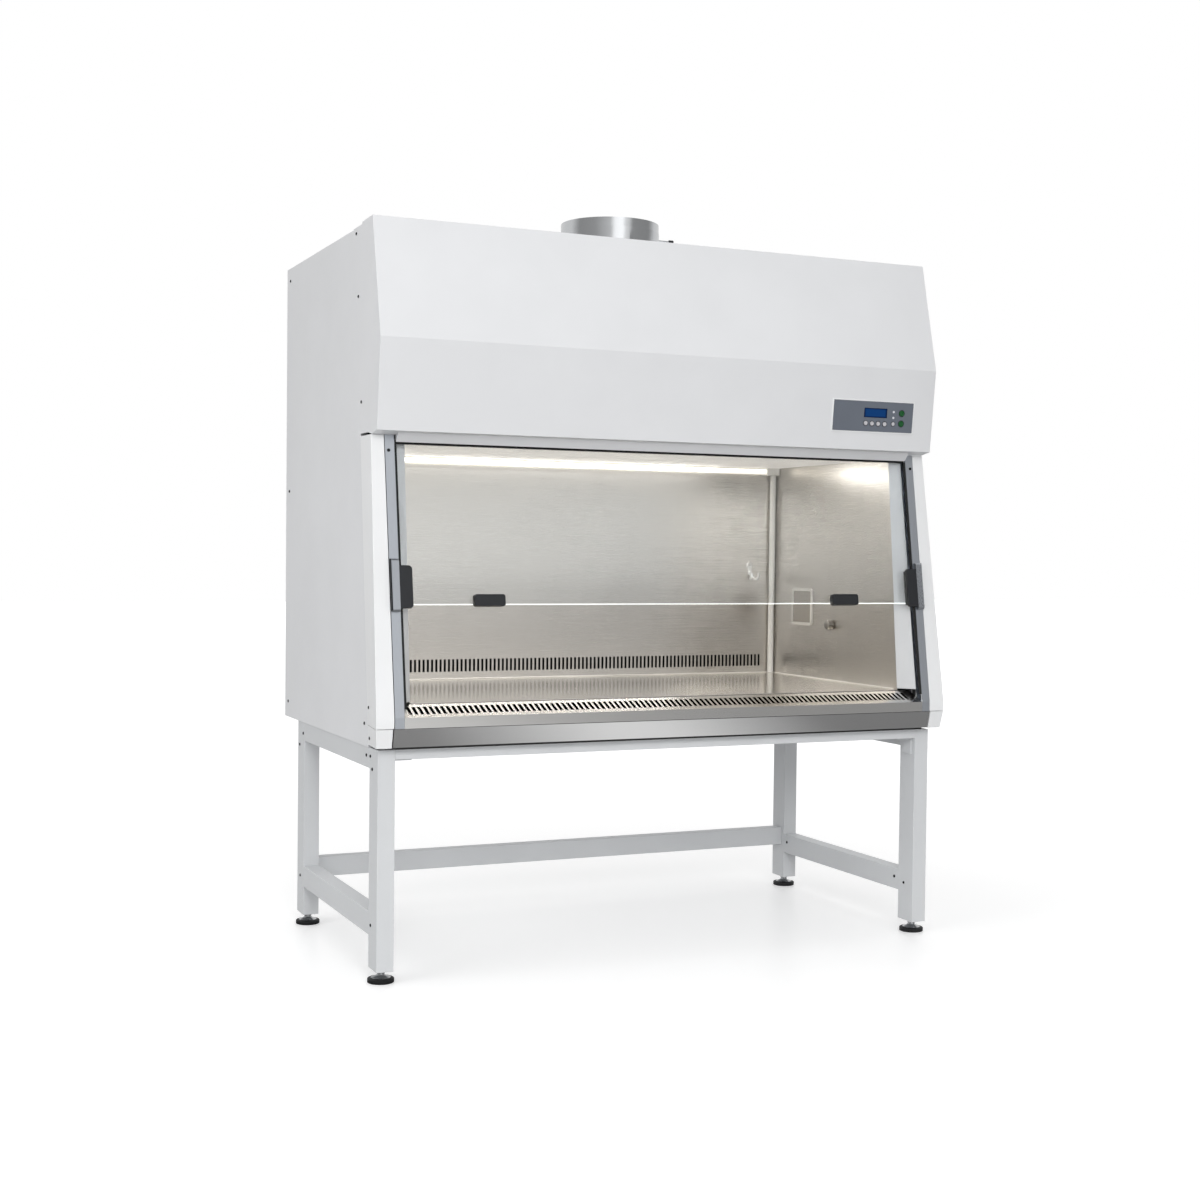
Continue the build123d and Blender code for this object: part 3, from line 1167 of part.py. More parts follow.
def socket_screws():
    """Socket heads on both sides of the body and stand, on the sash rails and on the rear panel."""
    heads = []
    for ahead, z in ((26, 1904), (25, 1740), (20, 1467), (-27, 648)):
        heads.append(side_screw(seam_depth(z) + ahead, z, HALF))
    for z in (637, 1260, 1880):
        heads.append(side_screw(41, z, HALF))
    front_leg, rear_leg = FRONT_LEG_DEPTH, REAR_LEG_DEPTH
    stand_heads = (
        (front_leg - 62, 568), (front_leg - 27, 569), (front_leg - 10, 538), (front_leg - 16, 142),
        (rear_leg + 26, 558), (rear_leg - 14, 522), (rear_leg, 142),
    )
    for depth, z in stand_heads:
        heads.append(side_screw(depth, z, LEG_OUTER))
    for depth, z in ((front_leg - 56, 150), (front_leg - 8, 140), (rear_leg + 56, 150)):
        heads.append(side_screw(depth, z, LEG_OUTER - LEG_WIDE, inward=True))
    rail_x = (RAIL_INNER + RAIL_OUTER) / 2 + 3
    rail_screw = SASH_PLANE * Pos(rail_x, -40, SCREW_HEAD / 2) * prism(SCREW_R, SCREW_HEAD, SCREW_SIDES)
    heads.append(rail_screw)
    for z in (BODY_BOTTOM + 30, BODY_BOTTOM + 470, BODY_BOTTOM + 900, ROOF_TOP - 30):
        heads.append(rear_screw(HALF - FLANGE - 12, z))
    right = Part() + heads
    return group([right, left_of(right)])


def rear_screw(x, z):
    """A screw head on the rear panel."""
    head = Rot(90, 0, 0) * prism(SCREW_R, SHEET, SCREW_SIDES)
    return Pos(x, y_at(SHEET / 2), z) * head


# ================= nodes =================


def nodes():
    """Every sub-part by its node's name."""
    parts = {
        "stand_legs": stand_legs(),
        "stand_rails": group([stand_rails(), stand_brackets()]),
        "fasteners": group([socket_screws(), foot_lock_nuts()]),
    }
    for x, depth, name in leg_places():
        parts["foot_" + name] = levelling_foot(x, depth)
    right_panel, right_trim = side_panel(), corner_trim()
    parts.update({
        "side_panel_left": left_of(right_panel),
        "side_panel_right": right_panel,
        "rear_panel": rear_panel(),
        "power_inlet": power_inlet(),
        "top_panel": top_panel(),
        "base_pan": base_pan(),
        "hood_shell": hood_shell(),
        "corner_trim_left": left_of(right_trim),
        "corner_trim_right": right_trim,
        "sash_rails": sash_rails(),
        "sash_seals": sash_seals(),
        "front_posts": front_posts(),
        "sash_glass": sash_glass(),
        "sash_top_rail": sash_top_rail(),
        "side_grips": side_grips(),
        "side_brackets": side_brackets(),
        "bottom_grips": bottom_grips(),
        "lift_shaft": lift_shaft(),
        "shaft_hangers": shaft_hangers(),
        "sash_cables": sash_cables(),
        "weight_cables": weight_cables(),
        "counterweights": both_sides(counterweight()),
        "rear_baffle": rear_baffle(),
        "liner_walls": liner_walls(),
        "ceiling_diffuser": ceiling_diffuser(),
        "lamp_tube": lamp_tube(),
        "lamp_holders": lamp_holders(),
        "work_trays": work_trays(),
        "front_grille": front_grille(),
        "front_apron": front_apron(),
        "coat_hook": coat_hook(),
        "outlet_frame": outlet_frame(),
        "outlet_flap": outlet_flap(),
        "valve_knob": valve_knob(),
        "plenum_box": plenum_box(),
        "supply_filter": supply_filter(),
        "exhaust_filter": exhaust_filter(),
        "blower_housing": blower_housing(),
        "blower_motor": blower_motor(),
        "blower_impeller": blower_impeller(),
        "exhaust_collar": exhaust_collar(),
        "damper_blade": damper_blade(),
        "damper_knob": damper_knob(),
        "control_panel": control_panel(),
        "display_window": display_window(),
        "status_lights": status_lights(),
    })
    for name, x, z, radius in BUTTONS:
        parts[name] = panel_button(x, z, radius)
    return parts


os.makedirs("parts", exist_ok=True)
for node_name, shape in nodes().items():
    export_step(shape, os.path.join("parts", node_name + ".step"))
    print(node_name, len(shape.solids()), round(shape.volume))
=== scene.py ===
import json
import math

import bpy
from mathutils import Matrix, Vector

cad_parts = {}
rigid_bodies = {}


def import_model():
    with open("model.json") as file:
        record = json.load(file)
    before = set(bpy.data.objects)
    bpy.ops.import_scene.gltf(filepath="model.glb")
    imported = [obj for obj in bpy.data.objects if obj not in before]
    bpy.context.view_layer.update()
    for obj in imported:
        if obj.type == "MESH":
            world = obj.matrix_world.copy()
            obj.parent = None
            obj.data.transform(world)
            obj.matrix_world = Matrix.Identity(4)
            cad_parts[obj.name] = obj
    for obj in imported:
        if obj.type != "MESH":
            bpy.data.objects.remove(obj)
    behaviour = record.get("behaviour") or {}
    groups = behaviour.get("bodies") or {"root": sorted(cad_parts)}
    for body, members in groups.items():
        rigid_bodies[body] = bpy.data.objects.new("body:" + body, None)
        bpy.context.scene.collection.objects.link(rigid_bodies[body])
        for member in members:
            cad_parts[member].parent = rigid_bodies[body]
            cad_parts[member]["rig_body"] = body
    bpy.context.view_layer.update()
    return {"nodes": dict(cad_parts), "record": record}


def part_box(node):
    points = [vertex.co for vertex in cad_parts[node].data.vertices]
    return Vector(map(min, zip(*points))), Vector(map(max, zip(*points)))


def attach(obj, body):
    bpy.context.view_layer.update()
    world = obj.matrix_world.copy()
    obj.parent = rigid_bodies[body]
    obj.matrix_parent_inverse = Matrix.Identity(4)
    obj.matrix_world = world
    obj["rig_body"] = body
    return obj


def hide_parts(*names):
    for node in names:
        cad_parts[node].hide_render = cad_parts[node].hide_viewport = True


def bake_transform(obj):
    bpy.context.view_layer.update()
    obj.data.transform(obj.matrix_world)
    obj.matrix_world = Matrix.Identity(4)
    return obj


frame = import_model()
NODES = frame["nodes"]
REAR_Y = 0.4985  # the cabinet's rear face

# ================= selecting and shaping =================


def only(piece):
    """Makes one object the active and only selected one."""
    bpy.ops.object.select_all(action="DESELECT")
    piece.select_set(True)
    bpy.context.view_layer.objects.active = piece
    return piece


def added(name):
    """The primitive that an operator has just added, renamed."""
    piece = bpy.context.active_object
    piece.name = name
    piece.data.name = name
    return piece


def settle(piece):
    """Applies an object's place to its mesh, so that the object sits at the origin."""
    only(piece)
    bpy.ops.object.transform_apply(location=True, rotation=True, scale=True)
    return piece


def finish_piece(piece, material, body, angle=35):
    """Material, smooth shading, body and slot of a new piece. A piece that is blended rides on no one body."""
    settle(piece)
    piece.data.materials.clear()
    piece.data.materials.append(material)
    only(piece)
    bpy.ops.object.shade_smooth_by_angle(angle=math.radians(angle))
    if body:
        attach(piece, body)
    return piece


def apply_modifier(piece, kind, **settings):
    """Adds a modifier with its settings and applies it."""
    only(piece)
    modifier = piece.modifiers.new(kind.title(), kind)
    for key, value in settings.items():
        setattr(modifier, key, value)
    bpy.ops.object.modifier_apply(modifier=modifier.name)
    return piece


def flattened(piece):
    """Turns a piece's shading normals to its large faces, so that only its rounded folds shade round."""
    return apply_modifier(piece, "WEIGHTED_NORMAL", keep_sharp=True, weight=60)


def merged_copy(node, name, join_flats=True):
    """A copy of a node's mesh with its corners merged and its flat faces joined."""
    piece = bpy.data.objects.new(name, NODES[node].data.copy())
    bpy.context.scene.collection.objects.link(piece)
    piece.data.name = name
    only(piece)
    bpy.ops.object.mode_set(mode="EDIT")
    bpy.ops.mesh.select_all(action="SELECT")
    bpy.ops.mesh.remove_doubles(threshold=1e-6)
    if join_flats:
        bpy.ops.mesh.dissolve_limited(angle_limit=math.radians(0.4))
    bpy.ops.object.mode_set(mode="OBJECT")
    return piece


def softened(node, material, width, segments=2, angle=10):
    """A copy of a node with its sharp folds rounded, which stands for the node."""
    piece = merged_copy(node, node + "_soft")
    apply_modifier(
        piece, "BEVEL", width=width, segments=segments, limit_method="ANGLE",
        angle_limit=math.radians(angle), use_clamp_overlap=True, miter_outer="MITER_ARC",
    )
    finish_piece(piece, material, NODES[node]["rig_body"])
    flattened(piece)
    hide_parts(node)
    return piece


def rounded_copy(node, material, angle=30):
    """A copy of a round node with smooth shading, which stands for the node."""
    piece = merged_copy(node, node + "_round", join_flats=False)
    finish_piece(piece, material, NODES[node]["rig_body"], angle)
    flattened(piece)
    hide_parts(node)
    return piece


def copy_of(piece, name):
    """A copy with its own mesh."""
    twin = bpy.data.objects.new(name, piece.data.copy())
    twin.data.name = name
    bpy.context.scene.collection.objects.link(twin)
    return twin


def placed(piece, matrix):
    """Puts a piece made at the origin in its place."""
    piece.matrix_world = matrix
    return settle(piece)


def lathe(name, rings, segments=48, closed=False):
    """Turns a profile about Z: a circle, extruded and resized to each ring (radius, height)."""
    bpy.ops.object.select_all(action="DESELECT")
    bpy.ops.mesh.primitive_circle_add(
        vertices=segments, radius=rings[0][0], fill_type="NOTHING" if closed else "NGON",
        location=(0, 0, rings[0][1]),
    )
    piece = added(name)
    bpy.ops.object.mode_set(mode="EDIT")
    bpy.ops.mesh.select_all(action="SELECT")
    for (radius, height), (next_radius, next_height) in zip(rings, rings[1:]):
        bpy.ops.mesh.extrude_region_move(TRANSFORM_OT_translate={"value": (0, 0, next_height - height)})
        grow = next_radius / radius
        bpy.ops.transform.resize(value=(grow, grow, 1), center_override=(0, 0, next_height))
    bpy.ops.mesh.select_all(action="SELECT")
    bpy.ops.mesh.remove_doubles(threshold=1e-6)
    bpy.ops.mesh.normals_make_consistent(inside=False)
    bpy.ops.object.mode_set(mode="OBJECT")
    return settle(piece)


def joined(pieces, name):
    """Several pieces as one."""
    only(pieces[0])
    for piece in pieces:
        piece.select_set(True)
    bpy.ops.object.join()
    return added(name)


def loose_parts(node):
    """The middle of each separate solid of a node, with the direction of its largest face."""
    mesh = merged_copy(node, node + "_guide")
    corners = list(range(len(mesh.data.vertices)))

    def root(i):
        while corners[i] != i:
            corners[i] = corners[corners[i]]
            i = corners[i]
        return i

    for edge in mesh.data.edges:
        corners[root(edge.vertices[0])] = root(edge.vertices[1])
    groups = {}
    for vertex in mesh.data.vertices:
        groups.setdefault(root(vertex.index), [[], {}])[0].append(vertex.co.copy())
    for face in mesh.data.polygons:
        normals = groups[root(face.vertices[0])][1]
        key = tuple(round(abs(v), 2) for v in face.normal)
        area, _ = normals.get(key, (0.0, None))
        normals[key] = (area + face.area, face.normal.copy())
    bpy.data.objects.remove(mesh)
    parts = []
    for points, normals in groups.values():
        low = Vector([min(p[i] for p in points) for i in range(3)])
        high = Vector([max(p[i] for p in points) for i in range(3)])
        parts.append(((low + high) / 2, max(normals.values(), key=lambda item: item[0])[1]))
    return parts


# ================= materials =================


def rgb(text):
    """A colour written as in a paint chart, as linear values."""
    values = [int(text[i:i + 2], 16) / 255 for i in (0, 2, 4)]
    return tuple(v / 12.92 if v <= 0.04045 else ((v + 0.055) / 1.055) ** 2.4 for v in values) + (1.0,)


def deeper(colour, share):
    """A share of a colour."""
    return tuple(v * share for v in colour[:3]) + (1.0,)


class Net:
    """A node tree with short ways to add nodes and links."""

    def __init__(self, tree):
        self.tree = tree

    def add(self, kind, **settings):
        node = self.tree.nodes.new(kind)
        for key, value in settings.items():
            setattr(node, key, value)
        return node

    def put(self, value, socket):
        """A socket is linked, and a plain value is set."""
        if isinstance(value, bpy.types.NodeSocket):
            self.tree.links.new(value, socket)
        else:
            socket.default_value = value

    def math(self, operation, a, b=None, clamp=False):
        node = self.add("ShaderNodeMath", operation=operation, use_clamp=clamp)
        self.put(a, node.inputs[0])
        if b is not None:
            self.put(b, node.inputs[1])
        return node.outputs[0]

    def spread(self, value, low, high, to_low=0.0, to_high=1.0):
        node = self.add("ShaderNodeMapRange", clamp=True)
        for socket, item in zip(node.inputs, (value, low, high, to_low, to_high)):
            self.put(item, socket)
        return node.outputs[0]

    def blend(self, amount, a, b):
        """A colour mixed from a to b."""
        node = self.add("ShaderNodeMix", data_type="RGBA")
        self.put(amount, node.inputs[0])
        self.put(a, node.inputs[6])
        self.put(b, node.inputs[7])
        return node.outputs[2]

    def noise(self, vector, scale, detail=2.0, roughness=0.5):
        node = self.add("ShaderNodeTexNoise")
        self.put(vector, node.inputs["Vector"])
        self.put(scale, node.inputs["Scale"])
        node.inputs["Detail"].default_value = detail
        node.inputs["Roughness"].default_value = roughness
        return node.outputs["Fac"]

    def bump(self, height, strength, distance):
        node = self.add("ShaderNodeBump")
        node.inputs["Strength"].default_value = strength
        node.inputs["Distance"].default_value = distance
        self.put(height, node.inputs["Height"])
        return node.outputs["Normal"]

    def place(self):
        return self.add("ShaderNodeTexCoord").outputs["Object"]


def new_group(name, inputs, outputs):
    """An empty node group with named sockets, and its input and output nodes."""
    tree = bpy.data.node_groups.new(name, "ShaderNodeTree")
    for label, kind, value in inputs:
        socket = tree.interface.new_socket(name=label, in_out="INPUT", socket_type=kind)
        socket.default_value = value
    for label, kind in outputs:
        tree.interface.new_socket(name=label, in_out="OUTPUT", socket_type=kind)
    net = Net(tree)
    return net, net.add("NodeGroupInput"), net.add("NodeGroupOutput")


def brushed_group():
    """Lines drawn along a sheet by its brushing, with soft clouds and finger marks."""
    net, source, target = new_group(
        "Brushed sheet",
        (("Lines", "NodeSocketVector", (2.0, 2.0, 400.0)), ("Cloud size", "NodeSocketFloat", 2.5)),
        (("Line", "NodeSocketFloat"), ("Fine line", "NodeSocketFloat"), ("Cloud", "NodeSocketFloat")),
    )
    stretch = net.add("ShaderNodeVectorMath", operation="MULTIPLY")
    place = net.place()
    net.put(place, stretch.inputs[0])
    net.put(source.outputs["Lines"], stretch.inputs[1])
    fine = net.add("ShaderNodeVectorMath", operation="SCALE")
    net.put(stretch.outputs[0], fine.inputs[0])
    fine.inputs["Scale"].default_value = 2.7
    net.put(net.noise(stretch.outputs[0], 1.0, 3.0, 0.6), target.inputs["Line"])
    net.put(net.noise(fine.outputs[0], 1.0, 2.0, 0.7), target.inputs["Fine line"])
    net.put(net.noise(place, source.outputs["Cloud size"], 3.0, 0.55), target.inputs["Cloud"])
    return net.tree


def peel_group():
    """The fine orange peel of sprayed paint, with a slow drift of tone."""
    net, source, target = new_group(
        "Sprayed skin",
        (("Peel size", "NodeSocketFloat", 420.0),),
        (("Height", "NodeSocketFloat"), ("Tone", "NodeSocketFloat"), ("Speck", "NodeSocketFloat")),
    )
    place = net.place()
    net.put(net.noise(place, source.outputs["Peel size"], 2.0, 0.45), target.inputs["Height"])
    net.put(net.noise(place, 3.1, 3.0, 0.6), target.inputs["Tone"])
    net.put(net.noise(place, 95.0, 4.0, 0.7), target.inputs["Speck"])
    return net.tree


BRUSHED = brushed_group()
SPRAYED = peel_group()


def grouped(net, tree, **values):
    node = net.add("ShaderNodeGroup", node_tree=tree)
    for label, value in values.items():
        net.put(value, node.inputs[label.replace("_", " ")])
    return node.outputs


def new_material(name, **constants):
    """A material with a Principled shader and the values that don't change over it."""
    material = bpy.data.materials.new(name)
    material.use_nodes = True
    net = Net(material.node_tree)
    shader = material.node_tree.nodes["Principled BSDF"]
    for label, value in constants.items():
        shader.inputs[label.replace("_", " ")].default_value = value
    return material, net, shader


def painted(name, colour, low_rough=0.36, high_rough=0.46, peel=420.0, strength=0.12, shade=0.035):
    """Powder coat or sprayed paint: a dry orange peel, a slow drift of tone and a few fine specks."""
    material, net, shader = new_material(name, Coat_Weight=0.12, Coat_Roughness=0.25, IOR=1.46)
    skin = grouped(net, SPRAYED, Peel_size=peel)
    base = rgb(colour)
    darker = deeper(base, 1 - shade)
    tone = net.spread(skin["Tone"], 0.35, 0.65)
    net.put(net.blend(tone, darker, base), shader.inputs["Base Color"])
    net.put(net.spread(skin["Speck"], 0.3, 0.7, low_rough, high_rough), shader.inputs["Roughness"])
    net.put(net.bump(skin["Height"], strength, 0.0004), shader.inputs["Normal"])
    return material


UNLIT = "101010"  # the inner side of a brushed sheet that no light reaches


def brushed(
    name, colour, lines, low_rough=0.2, high_rough=0.34, strength=0.12, depth=0.00004, clouds=2.5, shade=0.07, painted_shade_spaces=(),
):
    """Brushed sheet metal: lines in one direction that break up the reflection across them.

    The last argument lists half-spaces (share of Y, share of Z, limit), and what lies in all of them is painted shade:
    a near-black colour for the unlit inner side.
    """
    material, net, shader = new_material(name, Metallic=1.0)
    sheet = grouped(net, BRUSHED, Lines=lines, Cloud_size=clouds)
    base = rgb(colour)
    darker = deeper(base, 1 - shade)
    streak = net.spread(sheet["Line"], 0.3, 0.7)
    soft = net.math("MULTIPLY", streak, 0.6)
    mixed = net.math("ADD", soft, net.math("MULTIPLY", sheet["Cloud"], 0.4))
    tone = net.blend(mixed, darker, base)
    # Painted shade: what lies in all these half-spaces is coloured near black (UNLIT), for the unlit inner side.
    if painted_shade_spaces:
        split = net.add("ShaderNodeSeparateXYZ")
        net.put(net.place(), split.inputs[0])
        inner = 1.0
        for share_y, share_z, limit in painted_shade_spaces:
            part_y = net.math("MULTIPLY", split.outputs["Y"], share_y)
            part_z = net.math("MULTIPLY", split.outputs["Z"], share_z)
            along = net.math("ADD", part_y, part_z)
            inner = net.math("MULTIPLY", inner, net.math("LESS_THAN", along, limit))
        tone = net.blend(inner, tone, rgb(UNLIT))
    net.put(tone, shader.inputs["Base Color"])
    rough = net.math("ADD", net.math("MULTIPLY", sheet["Fine line"], 0.55), net.math("MULTIPLY", sheet["Cloud"], 0.45))
    net.put(net.spread(rough, 0.32, 0.68, low_rough, high_rough), shader.inputs["Roughness"])
    net.put(net.bump(sheet["Fine line"], strength, depth), shader.inputs["Normal"])
    return material


def moulded(name, colour, low_rough=0.42, high_rough=0.56, grain=900.0, strength=0.25, shade=0.1, **constants):
    """Moulded plastic or rubber with a fine spark-eroded grain."""
    material, net, shader = new_material(name, **constants)
    skin = grouped(net, SPRAYED, Peel_size=grain)
    base = rgb(colour)
    darker = deeper(base, 1 - shade)
    net.put(net.blend(net.spread(skin["Tone"], 0.35, 0.65), darker, base), shader.inputs["Base Color"])
    net.put(net.spread(skin["Speck"], 0.3, 0.7, low_rough, high_rough), shader.inputs["Roughness"])
    net.put(net.bump(skin["Height"], strength, 0.00015), shader.inputs["Normal"])
    return material


def turned_metal(name, colour, low_rough=0.12, high_rough=0.24):
    """Plated or turned steel with faint tool lines."""
    material, net, shader = new_material(name, Metallic=1.0)
    sheet = grouped(net, BRUSHED, Lines=(60.0, 60.0, 1400.0), Cloud_size=30.0)
    base = rgb(colour)
    darker = deeper(base, 0.88)
    net.put(net.blend(sheet["Cloud"], darker, base), shader.inputs["Base Color"])
    net.put(net.spread(sheet["Line"], 0.3, 0.7, low_rough, high_rough), shader.inputs["Roughness"])
    net.put(net.bump(sheet["Fine line"], 0.1, 0.00005), shader.inputs["Normal"])
    return material


FOOT_STEEL_Z = 0.0129  # the moulded base ends and the plated hub begins


def foot_material():
    """Levelling foot: plated steel above, black moulded rubber below the disc."""
    material, net, shader = new_material("levelling_foot")
    place = net.place()
    split = net.add("ShaderNodeSeparateXYZ")
    net.put(place, split.inputs[0])
    steel = net.math("GREATER_THAN", split.outputs["Z"], FOOT_STEEL_Z)
    skin = grouped(net, SPRAYED, Peel_size=700.0)
    sheet = grouped(net, BRUSHED, Lines=(60.0, 60.0, 1200.0), Cloud_size=30.0)
    net.put(net.blend(steel, rgb("141517"), rgb("B9BBBD")), shader.inputs["Base Color"])
    net.put(steel, shader.inputs["Metallic"])
    rubber_rough = net.spread(skin["Speck"], 0.3, 0.7, 0.5, 0.68)
    steel_rough = net.spread(sheet["Line"], 0.3, 0.7, 0.12, 0.26)
    mix = net.add("ShaderNodeMix", data_type="FLOAT")
    net.put(steel, mix.inputs[0])
    net.put(rubber_rough, mix.inputs[2])
    net.put(steel_rough, mix.inputs[3])
    net.put(mix.outputs[0], shader.inputs["Roughness"])
    net.put(net.bump(skin["Height"], 0.15, 0.0002), shader.inputs["Normal"])
    return material


def split_finish_and_shade(name, axis, limit, low_colour, high_colour, low_metal=0.0, high_metal=0.0, rough=(0.36, 0.5)):
    """Two colours on one sheet or set: the low colour below a place along an axis, the high one above it, for a real
    change of finish or for painted shade on an inner side.
    """
    material, net, shader = new_material(name)
    split = net.add("ShaderNodeSeparateXYZ")
    net.put(net.place(), split.inputs[0])
    above = net.math("GREATER_THAN", split.outputs[axis], limit)
    skin = grouped(net, SPRAYED, Peel_size=420.0)
    tone = net.spread(skin["Tone"], 0.35, 0.65, 0.94, 1.0)
    colour = net.blend(above, rgb(low_colour), rgb(high_colour))
    net.put(net.blend(tone, (0.0, 0.0, 0.0, 1.0), colour), shader.inputs["Base Color"])
    net.put(net.spread(above, 0.0, 1.0, low_metal, high_metal), shader.inputs["Metallic"])
    net.put(net.spread(skin["Speck"], 0.3, 0.7, *rough), shader.inputs["Roughness"])
    net.put(net.bump(skin["Height"], 0.12, 0.0003), shader.inputs["Normal"])
    return material


EDGE_GLOW_BAND = 0.0030  # painted highlight: a pale band that glows along the pane's lower edge


def glass_material(name, tint):
    material, net, shader = new_material(
        name, Base_Color=rgb(tint), Transmission_Weight=1.0, IOR=1.5, Metallic=0.0,
    )
    skin = grouped(net, SPRAYED, Peel_size=30.0)
    net.put(net.spread(skin["Tone"], 0.4, 0.7, 0.0, 0.012), shader.inputs["Roughness"])
    split = net.add("ShaderNodeSeparateXYZ")
    net.put(net.place(), split.inputs[0])
    edge_glow = net.math("LESS_THAN", split.outputs["Z"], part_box("sash_glass")[0].z + EDGE_GLOW_BAND)
    # Painted highlight: the lowest band of the pane glows pale (F2F5F4), for the light caught by its edge.
    shader.inputs["Emission Strength"].default_value = 0.6
    net.put(net.blend(edge_glow, (0.0, 0.0, 0.0, 1.0), rgb("F2F5F4")), shader.inputs["Emission Color"])
    return material


def glowing(name, colour, glow, strength, low_rough=0.25, high_rough=0.35):
    material, net, shader = new_material(name, Emission_Strength=strength)
    skin = grouped(net, SPRAYED, Peel_size=250.0)
    base = rgb(colour)
    darker = deeper(base, 0.9)
    net.put(net.blend(skin["Tone"], darker, base), shader.inputs["Base Color"])
    net.put(net.spread(skin["Speck"], 0.3, 0.7, low_rough, high_rough), shader.inputs["Roughness"])
    shine = rgb(glow)
    net.put(net.blend(skin["Tone"], deeper(shine, 0.93), shine), shader.inputs["Emission Color"])
    return material


def screen_material():
    """Blank liquid crystal window: a blue field that is deeper towards its rim."""
    material, net, shader = new_material("display_window", Specular_IOR_Level=0.15, Emission_Strength=0.1)
    low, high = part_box("display_window")
    middle = (low + high) / 2
    mapping = net.add("ShaderNodeMapping")
    net.put(net.place(), mapping.inputs["Vector"])
    mapping.inputs["Location"].default_value = -middle
    split = net.add("ShaderNodeSeparateXYZ")
    net.put(mapping.outputs[0], split.inputs[0])
    across = net.spread(net.math("ABSOLUTE", split.outputs["X"]), 0.031, 0.037)
    up = net.spread(net.math("ABSOLUTE", split.outputs["Z"]), 0.0085, 0.0125)
    rim = net.math("MAXIMUM", across, up)
    rows = net.math("SINE", net.math("MULTIPLY", split.outputs["Z"], 5200.0))
    rows = net.spread(rows, -1.0, 1.0, 0.0, 0.16)
    field = net.blend(rows, rgb("0C3B72"), rgb("082B5C"))
    colour = net.blend(rim, field, rgb("06193A"))
    net.put(colour, shader.inputs["Base Color"])
    net.put(colour, shader.inputs["Emission Color"])
    net.put(net.spread(rows, 0.0, 0.16, 0.22, 0.3), shader.inputs["Roughness"])
    return material


ALONG_X_UP = (3.0, 3.0, 2400.0)  # upright sheets, brushed level
ALONG_X_FLAT = (3.0, 2400.0, 30.0)  # trays, brushed across the cabinet
ALONG_X_FRONT = (2.0, 2000.0, 2400.0)  # grille and apron
TRAY_SHADE_SPACES = ((1, 0, -0.4295), (0, 1, 0.7025))  # painted shade on the front skirt, below the tray's face
GRILLE_SHADE_SPACES = ((-0.3857, 0.9227, 0.81337), (-1, 0, 0.4975))  # painted shade under the slope, behind the front step's face
REAR_SHADE_FROM_Y, PAN_SHADE_FROM_Z = 0.4955, 0.5928  # where the painted shade on the inner faces of rear panel and base pan begins
SCREWS_FROM_Z = 0.12  # the finish changes here, between the lock nuts below and the screws above

body_paint = painted("body_powder_coat", "E3E4E6")
trim_paint = painted("trim_powder_coat", "EDEEEF", 0.3, 0.4)
stand_paint = painted("stand_powder_coat", "D3D5D7")
wall_steel = brushed("chamber_wall_steel", "CFCBC5", ALONG_X_UP, 0.25, 0.31, 0.06, 0.0001, shade=0.04)
tray_steel = brushed(
    "tray_steel", "F0ECE6", ALONG_X_FLAT, 0.17, 0.22, 0.2, 0.0001, shade=0.04, painted_shade_spaces=TRAY_SHADE_SPACES,
)
grille_steel = brushed("grille_steel", "D6D5D3", ALONG_X_FRONT, 0.18, 0.22, 0.02, 0.0001, painted_shade_spaces=GRILLE_SHADE_SPACES)
front_steel = brushed("front_steel", "C9C9C9", ALONG_X_FRONT, 0.12, 0.18, 0.06, 0.0001)
collar_steel = brushed("collar_steel", "D2D4D6", (3.0, 3.0, 2400.0), 0.12, 0.18, 0.1, 0.0001)
duct_zinc = brushed("blower_zinc", "B4B8BA", (14.0, 14.0, 22.0), 0.38, 0.55, 0.1, clouds=9.0)
rail_metal = brushed("rail_aluminium", "C2C7CE", (300.0, 300.0, 2.0), 0.3, 0.42, 0.12)
bracket_metal = brushed("bracket_aluminium", "B4B8BE", (380.0, 380.0, 3.0), 0.24, 0.36, 0.12)
plated = turned_metal("plated_steel", "C9CACC")
knob_metal = turned_metal("knob_metal", "A3A09B", 0.25, 0.38)
cable_metal = turned_metal("cable_steel", "8F9194", 0.3, 0.45)
iron = moulded("cast_grey_iron", "5F6265", 0.55, 0.7, 260.0, 0.5, Metallic=0.6)
black_plastic = moulded("black_plastic", "1D1F23", 0.36, 0.5)
rubber = moulded("black_rubber", "141517", 0.55, 0.7, 600.0)
slate = moulded("panel_slate", "6A707A", 0.4, 0.5, 800.0, 0.12)
socket_plastic = moulded("outlet_plastic", "D6D3CD", 0.3, 0.42, 500.0, 0.1)
flap_plastic = moulded("flap_plastic", "9A958D", 0.28, 0.4, 500.0, 0.1)
conduit_plastic = moulded("lamp_plastic", "E6E4DF", 0.28, 0.4, 300.0, 0.08)
hook_metal = moulded("hook_metal", "F2F1EE", 0.15, 0.25, 500.0, 0.05, Metallic=0.3)
# Partly painted highlight: the tray's turned-up edge is near white (F4F1EB) and only part metal, so it shows as a
# bright line along the corner.
bead_steel_and_highlight = moulded("bead_steel_and_highlight", "F4F1EB", 0.3, 0.4, 500.0, 0.05, Metallic=0.35)
media = moulded("filter_media", "E9E6DE", 0.7, 0.85, 120.0, 0.5)
button_silver = moulded("button_silver", "C9C8CC", 0.25, 0.34, 500.0, 0.06)
button_green = glowing("button_green", "0E4A22", "1E8A3C", 0.08)
light_lens = glowing("light_lens", "D9DADF", "C9CCD6", 0.15)
# Painted light: the ceiling diffuser is no lamp, yet it glows (FFF9F0) for the lamp light on it.
ceiling_painted_glow = glowing("ceiling_diffuser", "E4E2DE", "FFF9F0", 0.3, 0.5, 0.65)
lamp_glow = glowing("lamp_glow", "FBF8F2", "FFF8EC", 0.9)
sash_glass = glass_material("sash_glass", "FAFCFD")
display = screen_material()
levelling_foot = foot_material()

